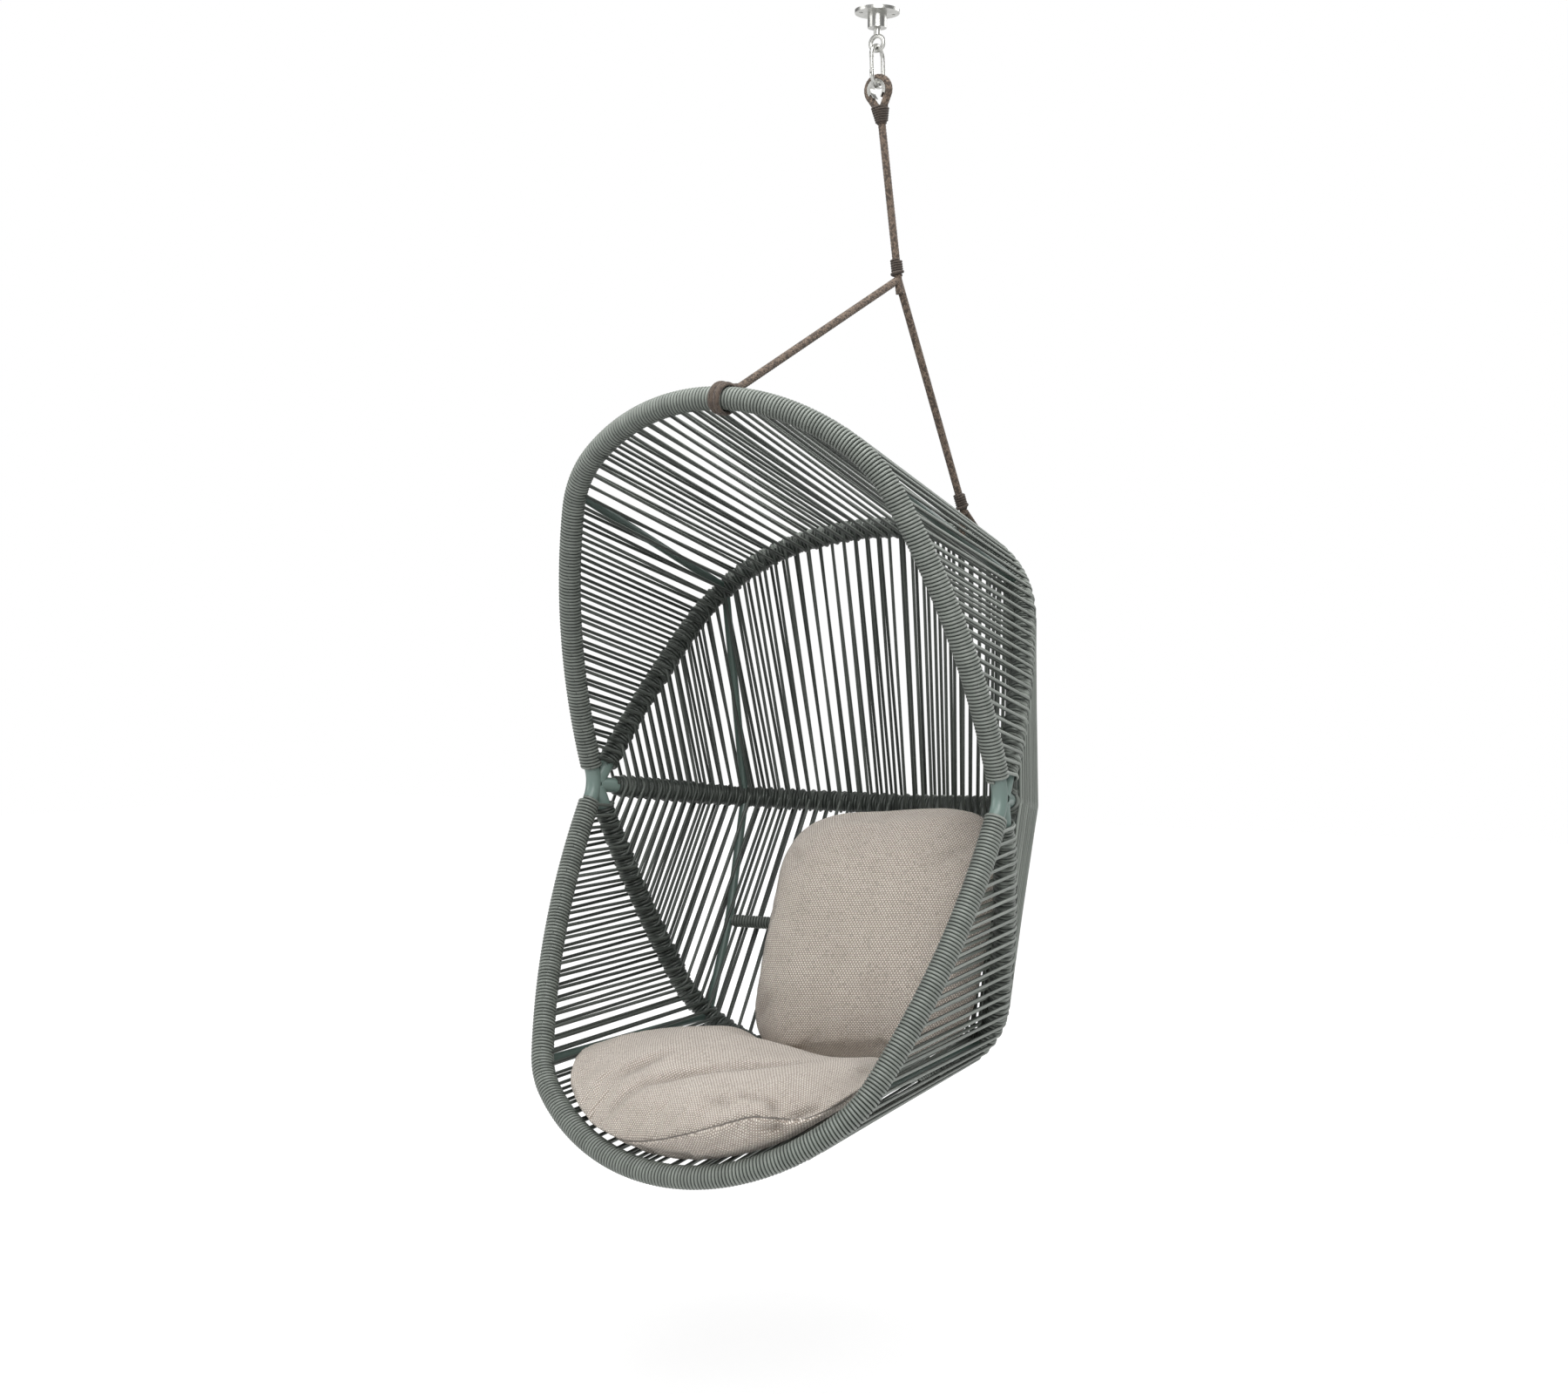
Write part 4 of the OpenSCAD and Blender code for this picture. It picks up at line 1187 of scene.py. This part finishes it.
@dataclass
class Cushion:
    """A stuffed cushion of two panels on one seam, as a map from a flat disc to its surface.

    A point of the disc is (r, angle), r from 0 in the middle to 1 at the seam. The top and the
    bottom panels rise from the seam surface by their crowns. Before it is filled the cushion is
    thinner than its full size by inset on each panel, and smaller by draw at its seam.

    Args:
        name: Its node.
        body: The body that it moves with.
        rings: Rings of each panel's grid.
        ring_points: Points of each ring.
        inset: What the filling adds to each panel's height.
        draw: What the filling adds at the seam, less than nothing where it draws the seam in.
        voxel: Size of the even remesh, in metres.
        cap: Most that a point moves while it is filled, in metres.
        pressure: Air pressure of the filling.
        fill: How tight it is, from 0 to 1. Not used.
        seam_depth: How far the sewn seam is pressed in.
        seam_width: How wide the groove along it is.
        fold_full: Depth at which a fold's painted shade is full.
        square: Power of its rounded outline, 2 for a circle.
        creases: Its folds.
    """

    name: str
    body: Body
    rings: int = 40
    ring_points: int = 160
    inset: float = 5.0
    draw: float = -6.0
    voxel: float = 0.005
    cap: float = 0.012
    pressure: float = 4.0
    fill: float = 0.6
    seam_depth: float = 2.0
    seam_width: float = 3.0
    fold_full: float = 12.0
    square: float = 2.0
    creases: tuple[Crease, ...] = ()

    def surface(self, r: Array, angle: Array, top: bool) -> Array:
        """Points of one panel. Each cushion gives its own."""
        raise NotImplementedError

    def relief(self, points: Array) -> tuple[Array, Array]:
        """Each point's distance from the seam line, and how deep its slack cloth is pressed in."""
        raise NotImplementedError

    def flat(self, points: Array) -> tuple[Array, Array, Array]:
        """Each point's place on its panel, the drop that its edge makes, and if it is on top."""
        raise NotImplementedError

    def floor(self, points: Array) -> Array:
        """The least height of each point."""
        return np.full(len(points), -np.inf)

    def outline(self, r: Array, angle: Array) -> tuple[Array, Array]:
        """Points of a rounded square: sign(c) |c|^(2/square) for the cosine and the sine."""
        return tuple(r * np.sign(c) * np.abs(c) ** (2 / self.square)
                     for c in (np.cos(angle), np.sin(angle)))

    def grid(self) -> Shell:
        """Both panels on one grid, closed at their middles."""
        r = np.sin(0.5 * math.pi * np.arange(1, self.rings + 1) / self.rings)
        angle = 2 * math.pi * np.arange(self.ring_points) / self.ring_points
        rr, aa = np.meshgrid(r, angle, indexing="ij")
        middle = np.zeros((1, 1))
        rings = np.concatenate([self.surface(rr, aa, True),
                                self.surface(rr[:-1], aa[:-1], False)[::-1]])
        points = np.concatenate([rings.reshape(-1, 3)] + [
            self.surface(middle, middle, top).reshape(1, 3) for top in (True, False)])
        corner = np.arange(len(points) - 2).reshape(-1, self.ring_points)
        turn = np.roll(corner, -1, axis=1)
        quads = np.stack([corner[:-1], corner[1:], turn[1:], turn[:-1]], -1).reshape(-1, 4)
        heads, tails = (np.full(self.ring_points, len(points) - back) for back in (2, 1))
        tris = np.concatenate([np.stack([heads, corner[0], turn[0]], -1),
                               np.stack([tails, turn[-1], corner[-1]], -1)])
        return Shell(points, quads, tris, np.zeros((len(quads), 4, 2)),
                     np.full(len(points), 0.5))

    def inflate(self, piece: Piece) -> None:
        """Fills the cushion: an even remesh, then air pressure in a cloth solver, capped."""
        scene = bpy.context.scene
        piece.data.remesh_voxel_size = self.voxel
        bpy.ops.object.voxel_remesh()
        rest = np.zeros(len(piece.data.vertices) * 3, np.float32)
        piece.data.vertices.foreach_get("co", rest)
        cloth = piece.modifiers.new("filling", "CLOTH")
        for key, value in {
            "quality": 4, "mass": 0.3, "tension_stiffness": 12, "compression_stiffness": 12,
            "bending_stiffness": 0.6, "use_pressure": True,
            "uniform_pressure_force": self.pressure,
        }.items():
            setattr(cloth.settings, key, value)
        cloth.settings.effector_weights.gravity = 0.0
        cloth.point_cache.frame_start, cloth.point_cache.frame_end = 1, 20
        for step in range(1, 21):
            scene.frame_set(step)
        moved = np.zeros_like(rest)
        evaluated = piece.evaluated_get(bpy.context.evaluated_depsgraph_get())
        evaluated.data.vertices.foreach_get("co", moved)
        shift = (moved - rest).reshape(-1, 3)
        size = np.linalg.norm(shift, axis=1, keepdims=True)
        shift *= np.minimum(1.0, self.cap / np.maximum(size, 1e-9))
        piece.modifiers.remove(cloth)
        scene.frame_set(1)
        piece.data.vertices.foreach_set("co", rest + shift.ravel().astype(np.float32))
        piece.data.update()

    def subdivide(self, piece: Piece) -> None:
        """One applied level of subdivision."""
        finer = piece.modifiers.new("finer", "SUBSURF")
        finer.levels = finer.render_levels = 1
        bpy.ops.object.modifier_apply(modifier=finer.name)

    def sew(self, mesh: bpy.types.Mesh) -> None:
        """Presses seam, folds and slack cloth into the mesh, and lays its pattern out flat."""
        co = np.zeros(len(mesh.vertices) * 3, np.float32)
        no = np.zeros_like(co)
        mesh.vertices.foreach_get("co", co)
        mesh.vertex_normals.foreach_get("vector", no)
        points = co.reshape(-1, 3).astype(float) / MM + ANCHOR
        seam, slack = self.relief(points)
        fold = np.sum([crease.depth_at(points) for crease in self.creases], axis=0)
        push = self.seam_depth * np.exp(-(seam / self.seam_width) ** 2) + slack + fold
        points = points - no.reshape(-1, 3).astype(float) * push[:, None]
        points[:, 2] = np.maximum(points[:, 2], self.floor(points))
        mesh.vertices.foreach_set("co", ((points - ANCHOR) * MM).astype(np.float32).ravel())
        mark(mesh, "seam", seam)
        # Painted shade: the folds' depth is kept for the cloth to darken in its creases.
        mark(mesh, "fold", np.clip(fold / self.fold_full, 0.0, 1.0))
        plan, drop, top = self.flat(points)
        size = np.maximum(np.linalg.norm(plan, axis=1), 1.0)
        pattern = plan * (1 + np.maximum(drop, 0) / size)[:, None] * MM
        pattern += np.where(top, 0.0, UNDERSIDE)[:, None]
        if not mesh.uv_layers:
            mesh.uv_layers.new(name="UVMap")
        index = np.zeros(len(mesh.loops), np.int32)
        mesh.loops.foreach_get("vertex_index", index)
        mesh.uv_layers[0].data.foreach_set("uv", pattern[index].astype(np.float32).ravel())
        mesh.polygons.foreach_set("use_smooth", np.ones(len(mesh.polygons), bool))
        mesh.update()

    def build(self, wardrobe: Wardrobe) -> None:
        """Builds, fills, seams and dresses the cushion."""
        piece = self.grid().build(self.name)
        bpy.context.view_layer.objects.active = piece
        self.inflate(piece)
        self.subdivide(piece)
        self.sew(piece.data)
        wardrobe.settle(piece, self.name, Slot.WEAVE, self.body)


@dataclass
class SeatCushion(Cushion):
    """The plump seat: it lies on the seat web, narrows to the back and stands up at its front."""

    width: float = 640.0
    depth: float = 500.0
    at: tuple[float, float] = (-1.0, -128.0)
    turn: float = math.radians(-4.0)
    square: float = 2.6
    taper: float = 0.24
    bed_z: float = -545.5
    bed_slope: float = 0.1446
    plump: float = 128.0
    front_lift: float = 62.0
    creases: tuple[Crease, ...] = (
        Crease((-135, -349, -539), (-88, -301, -491), 12.0, 8.0),
        Crease((-88, -301, -491), (14, -254, -465), 14.0, 11.0),
        Crease((14, -254, -465), (173, -182, -448), 20.0, 11.0),
        Crease((-155, -296, -480), (-108, -205, -456), 16.0, 9.0),
        Crease((188, -337, -488), (205, -347, -530), 9.0, 17.0),
        Crease((119, -334, -487), (188, -337, -488), 9.0, 8.0),
        Crease((177, -360, -525), (205, -347, -530), 7.0, 6.0),
        Crease((215, -339, -505), (253, -294, -491), 8.0, 9.0),
        Crease((60, -340, -500), (120, -345, -506), 10.0, 6.0),
    )

    def bed(self, x: Array, y: Array) -> Array:
        """Height of the web's top: a slope to the front, and a trough across."""
        side = (x / 300.0) ** 2
        return self.bed_z + self.bed_slope * y + 90.0 * side + 31.0 * side ** 3

    def seam_height(self, x: Array, y: Array) -> Array:
        """Height of the seam over the bed: on it at the sides and back, lifted along the front."""
        lifted = (smooth((x + 190) / 330) * (1 - smooth((x - 150) / 130))
                  * smooth((-y - 20) / 160))
        return 1.5 + self.front_lift * lifted

    def crown(self, x: Array, y: Array) -> Array:
        """Greatest rise of the top over the seam: less at the sides, in a dip, and at the back."""
        pressed = 0.72 * smooth((y + 90) / 170) * smooth((x + 150) / 110)
        dip = 30.0 * np.exp(-(((x - 150) / 120) ** 2) - ((y + 50) / 110) ** 2)
        rise = self.plump * (1 - 0.45 * (x / 300) ** 2) - self.seam_height(x, y) - dip
        return rise * (1 - pressed)

    def surface(self, r: Array, angle: Array, top: bool) -> Array:
        """The bed, the seam's height over it, and a crown that falls to nothing at the seam."""
        u, v = self.outline(r, angle)
        u = u * (self.width / 2 - self.draw) * (1 - self.taper * (1 + v) / 2)
        v = v * (self.depth / 2 - self.draw)
        c, s = math.cos(self.turn), math.sin(self.turn)
        x = self.at[0] + u * c - v * s
        y = self.at[1] + u * s + v * c
        seam, crown = self.seam_height(x, y), self.crown(x, y)
        if top:
            tallest = np.maximum(crown - 2 * self.inset, 0.4 * crown)
            rise = seam + tallest * np.maximum(0, 1 - r ** 2.2) ** 0.52
        else:
            rise = seam * (1 - np.maximum(0, 1 - r ** 30) ** 0.4)
        return np.stack([x, y, self.bed(x, y) + self.inset + rise], -1)

    def disc(self, points: Array) -> tuple[Array, Array]:
        """The disc radius of each point, and its height over the seam surface."""
        x, y, z = points.T
        dx, dy = x - self.at[0], y - self.at[1]
        c, s = math.cos(self.turn), math.sin(self.turn)
        v = (dy * c - dx * s) / (self.depth / 2)
        u = (dx * c + dy * s) / (self.width / 2 * (1 - self.taper * (1 + np.clip(v, -1, 1)) / 2))
        r = (np.abs(u) ** self.square + np.abs(v) ** self.square) ** (1 / self.square)
        return r, z - self.bed(x, y) - self.seam_height(x, y)

    def relief(self, points: Array) -> tuple[Array, Array]:
        """A seam round its edge, and soft lumps on its top."""
        r, height = self.disc(points)
        x, y, _ = points.T
        lumps = (1.1 * np.sin(x / 41 + 1.3 * np.sin(y / 57)) * np.sin(y / 36 + 0.8)
                 * smooth(height / 15))
        return np.where(r > 0.8, height - 0.5 * self.inset, NO_SEAM), lumps

    def floor(self, points: Array) -> Array:
        """A little over the web that it lies on."""
        return self.bed(points[:, 0], points[:, 1]) + 1.0

    def flat(self, points: Array) -> tuple[Array, Array, Array]:
        """Plan position on each panel, with the drop from the crown or to the bed."""
        r, height = self.disc(points)
        x, y, _ = points.T
        top = height > 0.5 * self.inset
        drop = np.where(top, self.crown(x, y) - height, self.seam_height(x, y) + height)
        return points[:, :2] - np.array(self.at), drop * smooth((r - 0.4) / 0.4), top


@dataclass
class BackCushion(Cushion):
    """The square back cushion, a little askew, between the back panels and the seat."""

    width: float = 484.0
    height: float = 488.0
    thick: float = 122.0
    at: tuple[float, float, float] = (91.0, 154.0, -264.0)
    lean: float = 14.0
    skew: tuple[float, float] = (0.055, 0.075)
    square: float = 3.3
    creases: tuple[Crease, ...] = (
        Crease((-120, 92, -80), (-60, 108, -130), 12.0, 4.5),
        Crease((-142, 62, -430), (-90, 50, -380), 13.0, 5.0),
        Crease((300, 100, -70), (230, 104, -120), 12.0, 4.5),
        Crease((-20, 78, -478), (40, 56, -430), 12.0, 4.0),
    )

    def surface(self, r: Array, angle: Array, top: bool) -> Array:
        """A crowned square whose sides are drawn in between its corners."""
        u, v = self.outline(r, angle)
        slack = 1 - 0.03 * r ** 4 * np.cos(2 * angle) ** 2
        u = u * slack * (self.width / 2 - self.draw)
        v = v * slack * (self.height / 2 - self.draw)
        crown = np.maximum(0, 1 - r ** 2.4) ** 0.55 * (self.thick / 2 - self.inset)
        local = np.stack([u + self.skew[0] * v, -crown if top else crown, v + self.skew[1] * u], -1)
        return np.array(self.at) + local @ turned("X", -self.lean).T

    def local(self, points: Array) -> tuple[Array, Array, Array]:
        """Points in the cushion's own upright frame, unskewed: across, up and outward."""
        p = (points - np.array(self.at)) @ turned("X", -self.lean)
        a, b = self.skew
        u = (p[:, 0] - a * p[:, 2]) / (1 - a * b)
        return u, p[:, 2] - b * u, p[:, 1]

    def radius(self, u: Array, v: Array) -> Array:
        """The disc radius of each point."""
        return ((np.abs(u) / (self.width / 2)) ** self.square
                + (np.abs(v) / (self.height / 2)) ** self.square) ** (1 / self.square)

    def relief(self, points: Array) -> tuple[Array, Array]:
        """A seam round its edge, slack folds near the corners, and soft lumps."""
        u, v, out = self.local(points)
        r, angle = self.radius(u, v), np.arctan2(v, u)
        slack = (1.3 * np.sin(9 * angle + 1.3 * np.sin(3 * angle)) * smooth((r - 0.5) / 0.3)
                 * smooth((1.02 - r) / 0.2))
        lumps = 1.0 * np.sin(u / 37 + 1.2 * np.sin(v / 49)) * np.sin(v / 43 + 0.4)
        return np.where(r > 0.75, out, NO_SEAM), slack + lumps

    def flat(self, points: Array) -> tuple[Array, Array, Array]:
        """Face position on each panel, with the drop that its edge makes."""
        u, v, out = self.local(points)
        drop = (self.thick / 2 - np.abs(out)) * smooth((self.radius(u, v) - 0.3) / 0.4)
        return np.stack([u, v], -1), drop, out < 0


# ---- Studio ---------------------------------------------------------------------------------


@dataclass
class Studio:
    """Camera, lamps, world and floor, in metres."""

    floor_z: float = -2.45
    floor_reach: float = 14.0
    eye: tuple[float, float, float] = (2.1709, -3.7272, -1.1711)
    yaw: float = 32.37
    pitch: float = -0.754
    roll: float = -0.219
    lens: float = 55.18
    target: tuple[float, float, float] = (-0.1, 0.0, -1.4)

    def camera(self) -> None:
        """The camera at its viewing angle: turned left of +Y, tipped and rolled a little."""
        data = bpy.data.cameras.new("camera")
        data.lens = self.lens
        data.sensor_width = 36.0
        data.sensor_fit = "HORIZONTAL"
        data.clip_end = 60.0
        made = shown("camera", data)
        turn = (Matrix.Rotation(math.radians(self.yaw), 4, "Z")
                @ Matrix.Rotation(math.radians(90 + self.pitch), 4, "X")
                @ Matrix.Rotation(math.radians(-self.roll), 4, "Z"))
        made.matrix_world = Matrix.Translation(Vector(self.eye)) @ turn
        bpy.context.scene.camera = made

    def lamp(self, name: str, at: tuple[float, float, float], size: float, power: float) -> None:
        """A square soft lamp aimed at the middle of the chair."""
        data = bpy.data.lights.new(name, "AREA")
        data.shape = "SQUARE"
        data.size = size
        data.energy = power
        made = shown(name, data)
        made.visible_camera = False
        aim = (Vector(self.target) - Vector(at)).to_track_quat("-Z", "Y")
        made.matrix_world = Matrix.Translation(Vector(at)) @ aim.to_matrix().to_4x4()

    def world(self) -> None:
        """Grey light from all sides that is seen as white."""
        made = bpy.data.worlds.new("studio")
        made.use_nodes = True
        g = Graph(made.node_tree)
        seen = g.node("ShaderNodeLightPath").outputs["Is Camera Ray"]
        back = g.node("ShaderNodeBackground",
                      {"Color": WHITE, "Strength": g.ramp(seen, 0.0, 1.0, 0.26, 1.0)})
        g.node("ShaderNodeOutputWorld", {"Surface": back.outputs[0]})
        bpy.context.scene.world = made

    def floor(self) -> None:
        """A wide pale floor, white to camera, gloss and glass but for the object's shadow."""
        corners = np.array([[-1, -1], [1, -1], [1, 1], [-1, 1]]) * self.floor_reach
        points = np.column_stack([corners, np.full(4, self.floor_z)]) / MM + ANCHOR
        made = Shell(points, np.arange(4)[None], np.zeros((0, 3), int), np.zeros((1, 4, 2)),
                     np.zeros(4)).build("studio_floor")
        finish = bpy.data.materials.new("studio_floor")
        finish.use_nodes = True
        g = Graph(finish.node_tree)
        path = g.node("ShaderNodeLightPath").outputs
        seen = g.math("MAXIMUM", g.math("MAXIMUM", path["Is Camera Ray"], path["Is Glossy Ray"]),
                      path["Is Transmission Ray"])
        bounce, shade = (g.node("ShaderNodeBsdfDiffuse", {"Color": (v, v, v, 1.0)}).outputs[0]
                         for v in (0.8, 0.22))
        x, y, _ = g.split(g.place())
        far = g.math("SQRT", g.math("ADD", g.math("MULTIPLY", x, x), g.math("MULTIPLY", y, y)))
        glow = g.node("ShaderNodeEmission", {"Strength": g.ramp(far, 0.6, 2.6, 0.84, 1.0)})
        both = g.node("ShaderNodeAddShader", {0: shade, 1: glow.outputs[0]})
        pick = g.node("ShaderNodeMixShader", {0: seen, 1: bounce, 2: both.outputs[0]})
        g.node("ShaderNodeOutputMaterial", {"Surface": pick.outputs[0]})
        made.data.materials.append(finish)

    def build(self) -> None:
        """Builds the studio."""
        self.camera()
        self.world()
        self.floor()
        self.lamp("key", (2.6, -3.6, 1.4), size=2.4, power=150.0)
        self.lamp("top", (0.2, -0.9, 1.9), size=2.6, power=125.0)
        self.lamp("fill", (-3.6, -3.0, 0.2), size=2.6, power=65.0)
        self.lamp("rear", (1.8, 3.6, 0.9), size=2.6, power=70.0)
        bpy.context.scene.view_settings.view_transform = "Standard"


def main() -> None:
    """Builds the studio and the chair, piece by piece."""
    logging.basicConfig(level=logging.INFO, format="%(message)s")
    Studio().build()
    wardrobe = Wardrobe()
    Harness(wardrobe).build()
    WoundFrame(wardrobe).build()
    dress_fitting(wardrobe)
    SeatCushion("seat_cushion", Body.SEAT).build(wardrobe)
    BackCushion("back_cushion", Body.BACK).build(wardrobe)


if __name__ == "__main__":
    main()
